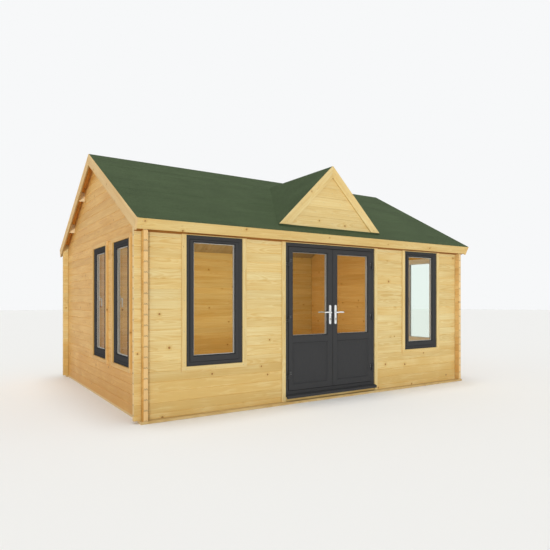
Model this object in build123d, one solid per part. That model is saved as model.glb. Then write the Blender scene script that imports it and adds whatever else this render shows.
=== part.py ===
"""A log cabin of horizontal interlocking logs, with a false dormer over French doors.

Millimetres, +Z up. The front looks along -Y, the ridge runs along X, and the origin is
the middle of the footprint at ground level.
"""
import os
from math import cos, radians, sin, tan

from build123d import *

# Walls, measured over their outer faces
WALL_LENGTH = 4850.0
WALL_DEPTH = 3850.0
LOG_THICKNESS = 44.0
LOG_HEIGHT = 106.4
WHOLE_LOGS = 19
LOG_END = 75.0
GROOVE = 5.0

# Base and floor
BEARER_HEIGHT = 26.0
BEARER_OVERHANG = 25.0
JOIST_WIDTH = 44.0
JOIST_COUNT = 9
FLOOR_BOARD = 19.0
FLOOR_GAP = 3.0

# Roof
PITCH = 27.76
ROOF_BOARD = 19.0
FELT = 4.0
FASCIA_WIDTH = 125.0
FASCIA_THICKNESS = 20.0
BARGE_WIDTH = 145.0
BARGE_THICKNESS = 20.0
FASCIA_TO_LOG_ENDS = 1.0
MITRE_GAP = 1.0
RIDGE_BEAM_WIDTH = 60.0
RIDGE_BEAM_HEIGHT = 120.0
PURLIN_WIDTH = 58.0
PURLIN_HEIGHT = 92.0
PURLIN_SPACING = 705.0

# False dormer over the doors
DORMER_RISE = 841.2
DORMER_PITCH = 45.0
DORMER_BARGE_WIDTH = 105.0
DORMER_BARGE_THICKNESS = 20.0
DORMER_FRONT_BOARD = 19.0

# Windows: the outer size of a frame, and the widths of its face
WINDOW_WIDTH = 667.0
WINDOW_HEIGHT = 1396.0
WINDOW_FRAME_FACE = 45.0
SASH_SIDE = 45.0
SASH_TOP = 27.0
SASH_BOTTOM = 63.0
SASH_PROUD = 8.0
SASH_CHAMFER = 4.0
GLASS_THICKNESS = 24.0
GLASS_SET_BACK = 14.0
FIT_GAP = 3.0
FRONT_WINDOW_SHIFT = 10.0
SIDE_WINDOW_FROM_FRONT = 324.5
SIDE_WINDOW_SPACE = 219.0
SIDE_WINDOW_DROP = 24.0

# Trims round the openings
TRIM_WIDTH = 50.0
TRIM_THICKNESS = 18.0
INNER_TRIM_WIDTH = 40.0
INNER_TRIM_THICKNESS = 16.0

# Door frame and cill
DOOR_WIDTH = 1424.0
DOOR_HEAD_DEPTH = 170.8
DOOR_FRAME_FACE = 45.0
THRESHOLD_HEIGHT = 39.0
STOP_WIDTH = 15.0
STOP_DEPTH = 14.0
STOP_GAP = 6.0
CILL_HEIGHT = 25.0
CILL_NOSE_HEIGHT = 13.0
CILL_NOSE_DROP = 18.0
CILL_NOSE_DEPTH = 16.0
CILL_PROJECTION = 58.0

# Door leaves
RUNNING_GAP = 5.0
MEETING_GAP = 10.0
LEAF_THICKNESS = 58.0
LEAF_PROUD = 8.0
HINGE_STILE = 56.0
MEETING_STILE = 71.0
LEAF_TOP_RAIL = 52.0
LEAF_BOTTOM_RAIL = 68.0
MIDDLE_RAIL = 75.0
LOWER_PANEL_HEIGHT = 508.8
PANEL_THICKNESS = 28.0
PANEL_SET_BACK = 16.0
DOOR_GLASS_SET_BACK = 20.0

# Hinges, three to a leaf
HINGE_RADIUS = 7.0
HINGE_PIN_RADIUS = 3.5
HINGE_PIN_GAP = 0.5
HINGE_HALF_HEIGHT = 42.0
HINGE_FROM_END = 186.0
HINGE_FLAG_LENGTH = 36.0
HINGE_FLAG_THICKNESS = 6.0
HINGE_STANDOFF = 5.0
HINGE_ARM_THICKNESS = 5.0
HINGE_ARM_GAP = 0.5

# Lever handles, inside and outside on one spindle
PLATE_WIDTH = 30.0
PLATE_HEIGHT = 242.0
PLATE_THICKNESS = 10.0
HANDLE_OFFSET = 38.0
LEVER_ABOVE_FOOT = 931.8
LEVER_ABOVE_CENTRE = 27.0
LEVER_LENGTH = 138.0
LEVER_SECTION = 18.0
LEVER_DEPTH = 14.4
LEVER_NECK_RADIUS = 12.0
LEVER_NECK_LENGTH = 30.0
LEVER_SEAT_GAP = 0.3
SPINDLE_RADIUS = 4.0
SPINDLE_BORE_RADIUS = 9.5

# Places that follow from the sizes
HALF_LENGTH = WALL_LENGTH / 2
HALF_DEPTH = WALL_DEPTH / 2
FRONT = -HALF_DEPTH
HALF_LOG = LOG_HEIGHT / 2
FRONT_SEAM = BEARER_HEIGHT + HALF_LOG
WALL_TOP = FRONT_SEAM + WHOLE_LOGS * LOG_HEIGHT
RISE = tan(radians(PITCH))
UP_SLOPE = (cos(radians(PITCH)), sin(radians(PITCH)))
RIDGE_UNDERSIDE = WALL_TOP + HALF_DEPTH * RISE
BOARDS_TOP = RIDGE_UNDERSIDE + ROOF_BOARD / UP_SLOPE[0]
FELT_TOP = BOARDS_TOP + FELT / UP_SLOPE[0]
LOG_RUN = HALF_DEPTH + LOG_END
EAVE_RUN = (
    LOG_RUN + FASCIA_TO_LOG_ENDS
    + FASCIA_THICKNESS * UP_SLOPE[0] + FASCIA_WIDTH * UP_SLOPE[1]
)
VERGE = HALF_LENGTH + LOG_END
DORMER_APEX = WALL_TOP + DORMER_RISE
DOOR_TOP = WALL_TOP - DOOR_HEAD_DEPTH
DOOR_FRAME_DEPTH = LEAF_THICKNESS - LEAF_PROUD + STOP_GAP + STOP_DEPTH
WINDOW_DEPTH = LOG_THICKNESS + INNER_TRIM_THICKNESS
FRONT_WINDOW_CENTRE = (DOOR_WIDTH / 2 + TRIM_WIDTH + VERGE) / 2 - FRONT_WINDOW_SHIFT
FRONT_WINDOW_BOTTOM = DOOR_TOP - WINDOW_HEIGHT
SIDE_WINDOW_FIRST = SIDE_WINDOW_FROM_FRONT + TRIM_WIDTH + WINDOW_WIDTH / 2
SIDE_WINDOW_STEP = WINDOW_WIDTH + 2 * TRIM_WIDTH + SIDE_WINDOW_SPACE
SIDE_WINDOW_PLACES = (SIDE_WINDOW_FIRST, SIDE_WINDOW_FIRST + SIDE_WINDOW_STEP)
SIDE_WINDOW_BOTTOM = FRONT_WINDOW_BOTTOM - SIDE_WINDOW_DROP
DOOR_BOTTOM = FRONT_SEAM + CILL_HEIGHT
DOOR_OPENING = DOOR_WIDTH / 2 + FIT_GAP
DOOR_OPENING_TOP = DOOR_TOP + FIT_GAP
LEAF_BOTTOM = DOOR_BOTTOM + THRESHOLD_HEIGHT + RUNNING_GAP
LEAF_TOP = DOOR_TOP - DOOR_FRAME_FACE - RUNNING_GAP
LEAF_OUTER = DOOR_WIDTH / 2 - DOOR_FRAME_FACE - RUNNING_GAP
LEAF_INNER = MEETING_GAP / 2
PANEL_BOTTOM = LEAF_BOTTOM + LEAF_BOTTOM_RAIL
DOOR_GLASS_BOTTOM = PANEL_BOTTOM + LOWER_PANEL_HEIGHT + MIDDLE_RAIL
LEAF_FACE = FRONT - LEAF_PROUD
HINGE_X = LEAF_OUTER + RUNNING_GAP / 2
HINGE_Y = LEAF_FACE - HINGE_STANDOFF - HINGE_RADIUS
HINGE_HEIGHTS = (
    LEAF_BOTTOM + HINGE_FROM_END, (LEAF_BOTTOM + LEAF_TOP) / 2, LEAF_TOP - HINGE_FROM_END,
)
HANDLE_X = LEAF_INNER + HANDLE_OFFSET
LEVER_HEIGHT = LEAF_BOTTOM + LEVER_ABOVE_FOOT
PLATE_CENTRE_HEIGHT = LEVER_HEIGHT - LEVER_ABOVE_CENTRE


def box(x0, x1, y0, y1, z0, z1):
    """A plain box between two corners."""
    middle = ((x0 + x1) / 2, (y0 + y1) / 2, (z0 + z1) / 2)
    return Pos(*middle) * Box(abs(x1 - x0), abs(y1 - y0), abs(z1 - z0))


def prism_x(outline, x0, x1):
    """A (y, z) outline drawn out along X."""
    face = make_face(Polyline(*[(x0, y, z) for y, z in outline], close=True))
    return extrude(face, amount=x1 - x0, dir=(1, 0, 0))


def prism_y(outline, y0, y1):
    """An (x, z) outline drawn out along Y."""
    face = make_face(Polyline(*[(x, y0, z) for x, z in outline], close=True))
    return extrude(face, amount=y1 - y0, dir=(0, 1, 0))


def rod_y(x, z, radius, y0, y1):
    """A round bar along Y."""
    return Pos(x, (y0 + y1) / 2, z) * Rot(90, 0, 0) * Cylinder(radius, abs(y1 - y0))


def rod_z(x, y, radius, z0, z1):
    """A round bar along Z."""
    return Pos(x, y, (z0 + z1) / 2) * Cylinder(radius, z1 - z0)


def to_left(shape):
    """The mirror image of a piece on the right."""
    return mirror(shape, Plane.YZ)


def to_back(shape):
    """The mirror image of a piece at the front."""
    return mirror(shape, Plane.XZ)


def log_outline(bottom, top, top_step, seams):
    """A wall's section from its outer face (0) to its inner face, with V grooves at the seams.

    The top slopes up by top_step towards the inner face, to seat the roof boards.
    """
    outer = []
    for seam in seams:
        if seam > bottom:
            outer.append((0.0, seam - GROOVE))
        outer.append((GROOVE, seam))
        if seam < top:
            outer.append((0.0, seam + GROOVE))
    if seams[0] > bottom:
        outer.insert(0, (0.0, bottom))
    if seams[-1] < top:
        outer.append((0.0, top))
    inner = [(LOG_THICKNESS - across, height) for across, height in reversed(outer)]
    if seams[-1] < top:
        inner[0] = (LOG_THICKNESS, top + top_step)
    return outer + inner


def seam_heights(first, below):
    """Seams from the first one up, a log apart."""
    heights = []
    height = first
    while height < below - GROOVE:
        heights.append(height)
        height += LOG_HEIGHT
    return heights


def corner_necks(first, x0, x1, y0, y1, above):
    """The blocks that the crossing wall's logs fill in a corner, a log apart."""
    blocks = []
    bottom = first
    while bottom < above:
        blocks.append(box(x0, x1, y0, y1, bottom, bottom + HALF_LOG))
        bottom += LOG_HEIGHT
    return blocks


def long_wall(x0, x1, bottom, seams):
    """Logs of the front wall between two places, up to the roof boards."""
    outline = log_outline(bottom, WALL_TOP, LOG_THICKNESS * RISE, seams)
    placed = [(FRONT + across, height) for across, height in outline]
    return prism_x(placed, x0, x1)


def right_corner_cuts():
    """What the right-hand wall's logs take out of the front wall's logs where they cross."""
    first = BEARER_HEIGHT + HALF_LOG / 2
    x0 = HALF_LENGTH - LOG_THICKNESS
    return corner_necks(first, x0, HALF_LENGTH, FRONT, FRONT + LOG_THICKNESS, WALL_TOP + LOG_HEIGHT)


def gable_corner_cuts():
    """What the front wall's logs take out of the right-hand wall's logs where they cross."""
    bottom = BEARER_HEIGHT
    x0 = HALF_LENGTH - LOG_THICKNESS
    y1 = FRONT + LOG_THICKNESS
    lowest = box(x0, HALF_LENGTH, FRONT, y1, bottom, bottom + HALF_LOG / 2)
    first = bottom + HALF_LOG * 1.5
    return [lowest] + corner_necks(first, x0, HALF_LENGTH, FRONT, y1, WALL_TOP - HALF_LOG)


def roof_band(top, thickness, run, x0, x1):
    """A slab of the front slope: its upper face at the ridge is at top, and it ends square."""
    foot = (-run, top - run * RISE)
    inset = (foot[0] + thickness * UP_SLOPE[1], foot[1] - thickness * UP_SLOPE[0])
    ridge_low = (0.0, top - thickness / UP_SLOPE[0])
    return prism_x([foot, inset, ridge_low, (0.0, top)], x0, x1)


def below_roof():
    """Everything under the front slope's upper face, which goes on past the ridge, for cutting."""
    far = WALL_DEPTH
    low = FELT_TOP - far * RISE
    high = FELT_TOP + far * RISE
    return prism_x([(-far, low), (far, high), (far, -far), (-far, -far)], -VERGE, VERGE)


def window_hole(centre, bottom, depth0, depth1):
    """The hole in a wall for one window, in wall coordinates."""
    half = WINDOW_WIDTH / 2 + FIT_GAP
    top = bottom + WINDOW_HEIGHT + FIT_GAP
    return box(centre - half, centre + half, depth0, depth1, bottom, top)


def ring(centre, half, bottom, top, borders, y0, y1):
    """A flat frame: borders are its side, top and bottom widths."""
    side, head, foot = borders
    outer = box(centre - half, centre + half, y0, y1, bottom, top)
    hole = box(centre - half + side, centre + half - side, y0, y1, bottom + foot, top - head)
    return outer - hole


def window_frame(centre, bottom):
    """A fixed frame with its sash, its outer face at y = 0."""
    half = WINDOW_WIDTH / 2
    top = bottom + WINDOW_HEIGHT
    face = WINDOW_FRAME_FACE
    frame = ring(centre, half, bottom, top, (face, face, face), 0.0, WINDOW_DEPTH)
    sash_bottom = bottom + face
    sash_top = top - face
    sash = ring(
        centre, half - face, sash_bottom, sash_top,
        (SASH_SIDE, SASH_TOP, SASH_BOTTOM), -SASH_PROUD, WINDOW_DEPTH - SASH_PROUD,
    )
    front_edges = sash.faces().sort_by(Axis.Y)[0].outer_wire().edges()
    return frame + chamfer(front_edges, SASH_CHAMFER)


def window_glass(centre, bottom):
    """The double-glazed pane of a window."""
    half = WINDOW_WIDTH / 2 - WINDOW_FRAME_FACE - SASH_SIDE
    low = bottom + WINDOW_FRAME_FACE + SASH_BOTTOM
    high = bottom + WINDOW_HEIGHT - WINDOW_FRAME_FACE - SASH_TOP
    return box(centre - half, centre + half, GLASS_SET_BACK, GLASS_SET_BACK + GLASS_THICKNESS, low, high)


def window_trims(centre, bottom):
    """The outer and inner timber trims of a window, as two rings on the wall's faces."""
    half = WINDOW_WIDTH / 2
    top = bottom + WINDOW_HEIGHT
    rings = []
    for width, y0, y1 in (
        (TRIM_WIDTH, -TRIM_THICKNESS, 0.0),
        (INNER_TRIM_WIDTH, LOG_THICKNESS, WINDOW_DEPTH),
    ):
        borders = (width, width, width)
        rings.append(ring(centre, half + width, bottom - width, top + width, borders, y0, y1))
    return rings


def on_front(shape):
    """Moves a piece from wall coordinates (outer face at y = 0) to the front wall."""
    return Pos(0, FRONT, 0) * shape


def on_right(shape):
    """Turns a piece from wall coordinates to the right-hand wall, x running back from its front."""
    return Pos(HALF_LENGTH, FRONT, 0) * Rot(0, 0, 90) * shape


def front_windows(maker):
    """The same piece for both front windows."""
    pieces = []
    for centre in (-FRONT_WINDOW_CENTRE, FRONT_WINDOW_CENTRE):
        made = maker(centre, FRONT_WINDOW_BOTTOM)
        for piece in made if isinstance(made, list) else [made]:
            pieces.append(on_front(piece))
    return pieces


def right_windows(maker):
    """The same piece for both windows of the right-hand wall."""
    pieces = []
    for centre in SIDE_WINDOW_PLACES:
        made = maker(centre, SIDE_WINDOW_BOTTOM)
        for piece in made if isinstance(made, list) else [made]:
            pieces.append(on_right(piece))
    return pieces


def make_base_frame():
    """Wide bearers at the front and back, out to the log ends, with the side bearers and joists."""
    half = HALF_LENGTH + BEARER_OVERHANG
    inside = HALF_LENGTH - LOG_THICKNESS
    reach = HALF_DEPTH - LOG_THICKNESS
    bearer = box(-half, half, -LOG_RUN, FRONT + LOG_THICKNESS, 0.0, BEARER_HEIGHT)
    side = box(inside, HALF_LENGTH, -reach, reach, 0.0, BEARER_HEIGHT)
    frame = bearer + to_back(bearer) + side + to_left(side)
    pitch = 2 * inside / (JOIST_COUNT + 1)
    for index in range(JOIST_COUNT):
        x = -inside + pitch * (index + 1)
        frame += box(x - JOIST_WIDTH / 2, x + JOIST_WIDTH / 2, -reach, reach, 0.0, BEARER_HEIGHT)
    return frame


def make_floor_boards():
    """The boarded floor, clear of the walls."""
    x = HALF_LENGTH - LOG_THICKNESS - FLOOR_GAP
    y = HALF_DEPTH - LOG_THICKNESS - FLOOR_GAP
    return box(-x, x, -y, y, BEARER_HEIGHT, BEARER_HEIGHT + FLOOR_BOARD)


def make_front_sill_log():
    """The half log that runs under the whole front wall and the door."""
    outline = log_outline(BEARER_HEIGHT, FRONT_SEAM, 0.0, [FRONT_SEAM])
    log = prism_x([(FRONT + across, height) for across, height in outline], -VERGE, VERGE)
    for cut in right_corner_cuts()[:1]:
        log = log - cut - to_left(cut)
    return log


def make_front_wall_right():
    """The front wall from the doorway to the right-hand corner."""
    wall = long_wall(DOOR_OPENING, VERGE, FRONT_SEAM, seam_heights(FRONT_SEAM, WALL_TOP))
    for cut in right_corner_cuts():
        wall -= cut
    return wall - on_front(window_hole(FRONT_WINDOW_CENTRE, FRONT_WINDOW_BOTTOM, 0.0, LOG_THICKNESS))


def make_front_wall_over_door():
    """The logs over the doorway."""
    seams = [seam for seam in seam_heights(FRONT_SEAM, WALL_TOP) if seam > DOOR_OPENING_TOP + GROOVE]
    return long_wall(-DOOR_OPENING, DOOR_OPENING, DOOR_OPENING_TOP, seams)


def make_back_wall():
    """The plain log wall at the back."""
    wall = long_wall(-VERGE, VERGE, BEARER_HEIGHT, seam_heights(FRONT_SEAM, WALL_TOP))
    for cut in right_corner_cuts():
        wall = wall - cut - to_left(cut)
    return to_back(wall)


def make_right_gable_wall():
    """The right-hand wall up to the roof boards, with its windows and the purlins' seats."""
    seams = seam_heights(BEARER_HEIGHT + LOG_HEIGHT, RIDGE_UNDERSIDE - GROOVE)
    outline = log_outline(BEARER_HEIGHT, RIDGE_UNDERSIDE, 0.0, seams)
    wall = prism_y([(HALF_LENGTH - across, height) for across, height in outline], -LOG_RUN, LOG_RUN)
    eave = RIDGE_UNDERSIDE - LOG_RUN * RISE
    gable = [
        (-LOG_RUN, BEARER_HEIGHT), (LOG_RUN, BEARER_HEIGHT), (LOG_RUN, eave),
        (0.0, RIDGE_UNDERSIDE), (-LOG_RUN, eave),
    ]
    wall = wall & prism_x(gable, HALF_LENGTH - LOG_THICKNESS, HALF_LENGTH)
    for cut in gable_corner_cuts():
        wall = wall - cut - to_back(cut)
    for centre in SIDE_WINDOW_PLACES:
        wall -= on_right(window_hole(centre, SIDE_WINDOW_BOTTOM, 0.0, LOG_THICKNESS))
    wall -= make_ridge_beam()
    for purlin in make_purlins():
        wall -= purlin
    return wall


def make_ridge_beam():
    """The beam under the ridge, its top cut to both slopes."""
    half = RIDGE_BEAM_WIDTH / 2
    shoulder = RIDGE_UNDERSIDE - half * RISE
    bottom = RIDGE_UNDERSIDE - RIDGE_BEAM_HEIGHT
    outline = [(-half, bottom), (half, bottom), (half, shoulder), (0.0, RIDGE_UNDERSIDE), (-half, shoulder)]
    return prism_x(outline, -VERGE, VERGE)


def make_purlins():
    """Two purlins under each slope, their tops cut to the slope."""
    purlins = []
    for count in (1, 2):
        near = -PURLIN_SPACING * count - PURLIN_WIDTH / 2
        far = near + PURLIN_WIDTH
        low = RIDGE_UNDERSIDE + near * RISE
        high = RIDGE_UNDERSIDE + far * RISE
        bottom = low - PURLIN_HEIGHT
        purlin = prism_x([(near, bottom), (far, bottom), (far, high), (near, low)], -VERGE, VERGE)
        purlins += [purlin, to_back(purlin)]
    return purlins


def make_roof_boards():
    """The roof boards of the front slope, up to the fascia's inner face."""
    run = EAVE_RUN - FASCIA_THICKNESS * UP_SLOPE[0]
    # The slab ends square, so its upper edge starts a little lower down the slope than the felt's
    run -= FELT * UP_SLOPE[1]
    return roof_band(BOARDS_TOP, ROOF_BOARD, run, -VERGE, VERGE)


def make_roof_felt():
    """The green felt on the front slope."""
    run = EAVE_RUN - FASCIA_THICKNESS * UP_SLOPE[0]
    return roof_band(FELT_TOP, FELT, run, -VERGE, VERGE)


def make_fascia():
    """The board along the front eaves, square to the slope."""
    top_y = -EAVE_RUN
    top_z = FELT_TOP - EAVE_RUN * RISE
    along_y = FASCIA_THICKNESS * UP_SLOPE[0]
    along_z = FASCIA_THICKNESS * UP_SLOPE[1]
    down_y = FASCIA_WIDTH * UP_SLOPE[1]
    down_z = FASCIA_WIDTH * UP_SLOPE[0]
    outline = [
        (top_y, top_z), (top_y + along_y, top_z + along_z),
        (top_y + along_y + down_y, top_z + along_z - down_z), (top_y + down_y, top_z - down_z),
    ]
    return prism_x(outline, -VERGE, VERGE)


def make_barge_boards():
    """The two boards along the right-hand gable's slopes, mitred at the ridge."""
    board = roof_band(FELT_TOP, BARGE_WIDTH, EAVE_RUN, VERGE, VERGE + BARGE_THICKNESS)
    high = FELT_TOP + BARGE_WIDTH
    board -= box(VERGE, VERGE + BARGE_THICKNESS, -MITRE_GAP / 2, BARGE_WIDTH, 0.0, high)
    return [board, to_back(board)]


def dormer_band(top, thickness, y0, y1, inset):
    """A slab of the dormer's right-hand slope, its upper face at the dormer's ridge at top."""
    steep = tan(radians(DORMER_PITCH))
    drop = thickness / cos(radians(DORMER_PITCH))
    reach = HALF_LENGTH / 2
    outline = [
        (inset, top - inset * steep), (reach, top - reach * steep),
        (reach, top - drop - reach * steep), (inset, top - drop - inset * steep),
    ]
    return prism_y(outline, y0, y1) - below_roof()


def make_dormer_felt():
    """The felt on the dormer's two slopes."""
    felt = dormer_band(DORMER_APEX, FELT, FRONT, 0.0, MITRE_GAP / 2)
    return [felt, to_left(felt)]


def make_dormer_roof_boards():
    """The boards on the dormer's two slopes."""
    top = DORMER_APEX - FELT / cos(radians(DORMER_PITCH))
    boards = dormer_band(top, ROOF_BOARD, FRONT, 0.0, MITRE_GAP / 2)
    return [boards, to_left(boards)]


def make_dormer_barge_boards():
    """The two boards that frame the dormer's front."""
    y0 = FRONT - DORMER_BARGE_THICKNESS
    board = dormer_band(DORMER_APEX, DORMER_BARGE_WIDTH, y0, FRONT, MITRE_GAP / 2)
    return [board, to_left(board)]


def make_dormer_front():
    """The boarded triangle under the dormer's roof."""
    apex = DORMER_APEX - (FELT + ROOF_BOARD) / cos(radians(DORMER_PITCH))
    reach = HALF_LENGTH / 2
    low = apex - reach * tan(radians(DORMER_PITCH))
    panel = prism_y([(-reach, low), (reach, low), (0.0, apex)], FRONT, FRONT + DORMER_FRONT_BOARD)
    return panel - below_roof()


def make_door_trims():
    """The timber trims at the sides of the doorway and over it, outside and inside."""
    half = DOOR_WIDTH / 2
    pieces = []
    for width, y0, y1, foot in (
        (TRIM_WIDTH, -TRIM_THICKNESS, 0.0, BEARER_HEIGHT),
        (INNER_TRIM_WIDTH, LOG_THICKNESS, DOOR_FRAME_DEPTH, BEARER_HEIGHT + FLOOR_BOARD),
    ):
        outer = box(-half - width, half + width, y0, y1, foot, DOOR_TOP + width)
        hole = box(-half, half, y0, y1, foot, DOOR_TOP)
        pieces.append(on_front(outer - hole))
    return pieces


def make_door_frame():
    """The door frame with its threshold and the stop that the leaves close against."""
    half = DOOR_WIDTH / 2
    face = DOOR_FRAME_FACE
    clear = half - face
    bottom = DOOR_BOTTOM + THRESHOLD_HEIGHT
    top = DOOR_TOP - face
    frame = box(-half, half, 0.0, DOOR_FRAME_DEPTH, DOOR_BOTTOM, DOOR_TOP)
    frame -= box(-clear, clear, 0.0, DOOR_FRAME_DEPTH - STOP_DEPTH, bottom, top)
    inner = clear - STOP_WIDTH
    frame -= box(-inner, inner, 0.0, DOOR_FRAME_DEPTH, bottom + STOP_WIDTH, top - STOP_WIDTH)
    return on_front(frame)


def make_door_cill():
    """The projecting cill under the door frame, falling away to a nose that hangs below its seat."""
    half = DOOR_WIDTH / 2
    nose_foot = FRONT_SEAM - CILL_NOSE_DROP
    nose_back = -CILL_PROJECTION + CILL_NOSE_DEPTH
    outline = [
        (-CILL_PROJECTION, nose_foot), (-CILL_PROJECTION, FRONT_SEAM + CILL_NOSE_HEIGHT),
        (0.0, DOOR_BOTTOM), (DOOR_FRAME_DEPTH, DOOR_BOTTOM), (DOOR_FRAME_DEPTH, FRONT_SEAM),
        (nose_back, FRONT_SEAM), (nose_back, nose_foot),
    ]
    return on_front(prism_x(outline, -half, half))


def make_hinge_pins():
    """The right-hand leaf's hinge halves on the frame: a plate, a barrel and its pin, three times."""
    pieces = []
    arm_start = DOOR_WIDTH / 2 - DOOR_FRAME_FACE + HINGE_ARM_GAP
    arm_front = HINGE_Y - HINGE_ARM_THICKNESS / 2
    for height in HINGE_HEIGHTS:
        low = height - HINGE_HALF_HEIGHT
        plate_end = HINGE_X + HINGE_FLAG_LENGTH
        piece = rod_z(HINGE_X, HINGE_Y, HINGE_RADIUS, low, height)
        piece += box(arm_start, HINGE_X + 2 * HINGE_RADIUS, arm_front, FRONT, low, height)
        piece += box(arm_start, plate_end, FRONT - HINGE_FLAG_THICKNESS, FRONT, low, height)
        piece += rod_z(HINGE_X, HINGE_Y, HINGE_PIN_RADIUS, low, height + HINGE_HALF_HEIGHT)
        pieces.append(piece)
    return pieces


def leaf_hinge(height):
    """A hinge half on the right-hand leaf: a plate and a bored barrel over the pin."""
    low = height + HINGE_PIN_GAP
    top = height + HINGE_HALF_HEIGHT
    half = rod_z(HINGE_X, HINGE_Y, HINGE_RADIUS, low, top)
    half += box(HINGE_X - 2 * HINGE_RADIUS, HINGE_X - RUNNING_GAP / 2, HINGE_Y, LEAF_FACE, low, top)
    plate_front = LEAF_FACE - HINGE_FLAG_THICKNESS
    half += box(HINGE_X - HINGE_FLAG_LENGTH, HINGE_X - RUNNING_GAP / 2, plate_front, LEAF_FACE, low, top)
    return half - rod_z(HINGE_X, HINGE_Y, HINGE_PIN_RADIUS + HINGE_PIN_GAP, low, top)


def make_right_door():
    """The right-hand leaf: stiles, rails, the sunk lower panel and its hinge halves."""
    back = LEAF_FACE + LEAF_THICKNESS
    glass_low = DOOR_GLASS_BOTTOM
    glass_x0 = LEAF_INNER + MEETING_STILE
    glass_x1 = LEAF_OUTER - HINGE_STILE
    leaf = box(LEAF_INNER, LEAF_OUTER, LEAF_FACE, back, LEAF_BOTTOM, LEAF_TOP)
    leaf -= box(glass_x0, glass_x1, LEAF_FACE, back, glass_low, LEAF_TOP - LEAF_TOP_RAIL)
    panel_high = PANEL_BOTTOM + LOWER_PANEL_HEIGHT
    panel_front = LEAF_FACE + PANEL_SET_BACK
    leaf -= box(glass_x0, glass_x1, LEAF_FACE, panel_front, PANEL_BOTTOM, panel_high)
    leaf -= box(glass_x0, glass_x1, panel_front + PANEL_THICKNESS, back, PANEL_BOTTOM, panel_high)
    leaf -= rod_y(HANDLE_X, LEVER_HEIGHT, SPINDLE_BORE_RADIUS, LEAF_FACE, back)
    for height in HINGE_HEIGHTS:
        leaf += leaf_hinge(height)
    return leaf


def make_right_door_glass():
    """The double-glazed pane of the right-hand leaf."""
    front = LEAF_FACE + DOOR_GLASS_SET_BACK
    x0 = LEAF_INNER + MEETING_STILE
    x1 = LEAF_OUTER - HINGE_STILE
    return box(x0, x1, front, front + GLASS_THICKNESS, DOOR_GLASS_BOTTOM, LEAF_TOP - LEAF_TOP_RAIL)


def make_right_handle_plates():
    """The long plates on both faces of the right-hand leaf."""
    back = LEAF_FACE + LEAF_THICKNESS
    low = PLATE_CENTRE_HEIGHT - PLATE_HEIGHT / 2
    high = PLATE_CENTRE_HEIGHT + PLATE_HEIGHT / 2
    x0 = HANDLE_X - PLATE_WIDTH / 2
    x1 = HANDLE_X + PLATE_WIDTH / 2
    plates = []
    for y0 in (LEAF_FACE - PLATE_THICKNESS, back):
        y1 = y0 + PLATE_THICKNESS
        plates.append(box(x0, x1, y0, y1, low, high) - rod_y(HANDLE_X, LEVER_HEIGHT, SPINDLE_BORE_RADIUS, y0, y1))
    return plates


def make_right_lever():
    """The outer and inner lever on one spindle, pointing towards the hinges."""
    outer_seat = LEAF_FACE - PLATE_THICKNESS - LEVER_SEAT_GAP
    inner_seat = LEAF_FACE + LEAF_THICKNESS + PLATE_THICKNESS + LEVER_SEAT_GAP
    lever = rod_y(HANDLE_X, LEVER_HEIGHT, SPINDLE_RADIUS, outer_seat, inner_seat)
    low = LEVER_HEIGHT - LEVER_SECTION / 2
    high = LEVER_HEIGHT + LEVER_SECTION / 2
    for seat, out in ((outer_seat, -1.0), (inner_seat, 1.0)):
        end = seat + out * LEVER_NECK_LENGTH
        lever += rod_y(HANDLE_X, LEVER_HEIGHT, LEVER_NECK_RADIUS, seat, end)
        grip_end = end + out * LEVER_DEPTH
        lever += box(HANDLE_X - LEVER_SECTION / 2, HANDLE_X + LEVER_LENGTH, end, grip_end, low, high)
    return lever


def write(name, shape):
    """Writes one node."""
    solids = shape if isinstance(shape, list) else [shape]
    solids = [solid for piece in solids for solid in piece.solids()]
    export_step(solids[0] if len(solids) == 1 else Compound(solids), f"parts/{name}.step")


def mirrored(shape):
    """The left-hand twin of a node on the right."""
    return [to_left(piece) for piece in shape] if isinstance(shape, list) else to_left(shape)


os.makedirs("parts", exist_ok=True)

write("base_frame", make_base_frame())
write("floor_boards", make_floor_boards())
write("front_sill_log", make_front_sill_log())
right_front_wall = make_front_wall_right()
write("front_wall_right", right_front_wall)
write("front_wall_left", to_left(right_front_wall))
write("front_wall_over_door", make_front_wall_over_door())
write("back_wall", make_back_wall())
gable_wall = make_right_gable_wall()
write("right_gable_wall", gable_wall)
write("left_gable_wall", to_left(gable_wall))

write("ridge_beam", make_ridge_beam())
write("purlins", make_purlins())
for name, piece in (
    ("roof_boards", make_roof_boards()),
    ("roof_felt", make_roof_felt()),
    ("fascia", make_fascia()),
):
    write("front_" + name, piece)
    write("back_" + name, to_back(piece))
barge_boards = make_barge_boards()
write("right_barge_boards", barge_boards)
write("left_barge_boards", mirrored(barge_boards))

write("dormer_front_boards", make_dormer_front())
write("dormer_roof_boards", make_dormer_roof_boards())
write("dormer_felt", make_dormer_felt())
write("dormer_barge_boards", make_dormer_barge_boards())

for name, maker in (
    ("window_frames", window_frame),
    ("window_glass", window_glass),
    ("window_trims", window_trims),
):
    write("front_" + name, front_windows(maker))
    pieces = right_windows(maker)
    write("right_" + name, pieces)
    write("left_" + name, mirrored(pieces))

write("door_trims", make_door_trims())
write("door_frame", make_door_frame())
write("door_cill", make_door_cill())
for name, piece in (
    ("hinge_pins", make_hinge_pins()),
    ("door", make_right_door()),
    ("door_glass", make_right_door_glass()),
    ("handle_plates", make_right_handle_plates()),
    ("lever", make_right_lever()),
):
    write("right_" + name, piece)
    write("left_" + name, mirrored(piece))
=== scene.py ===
from functools import partial

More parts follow.
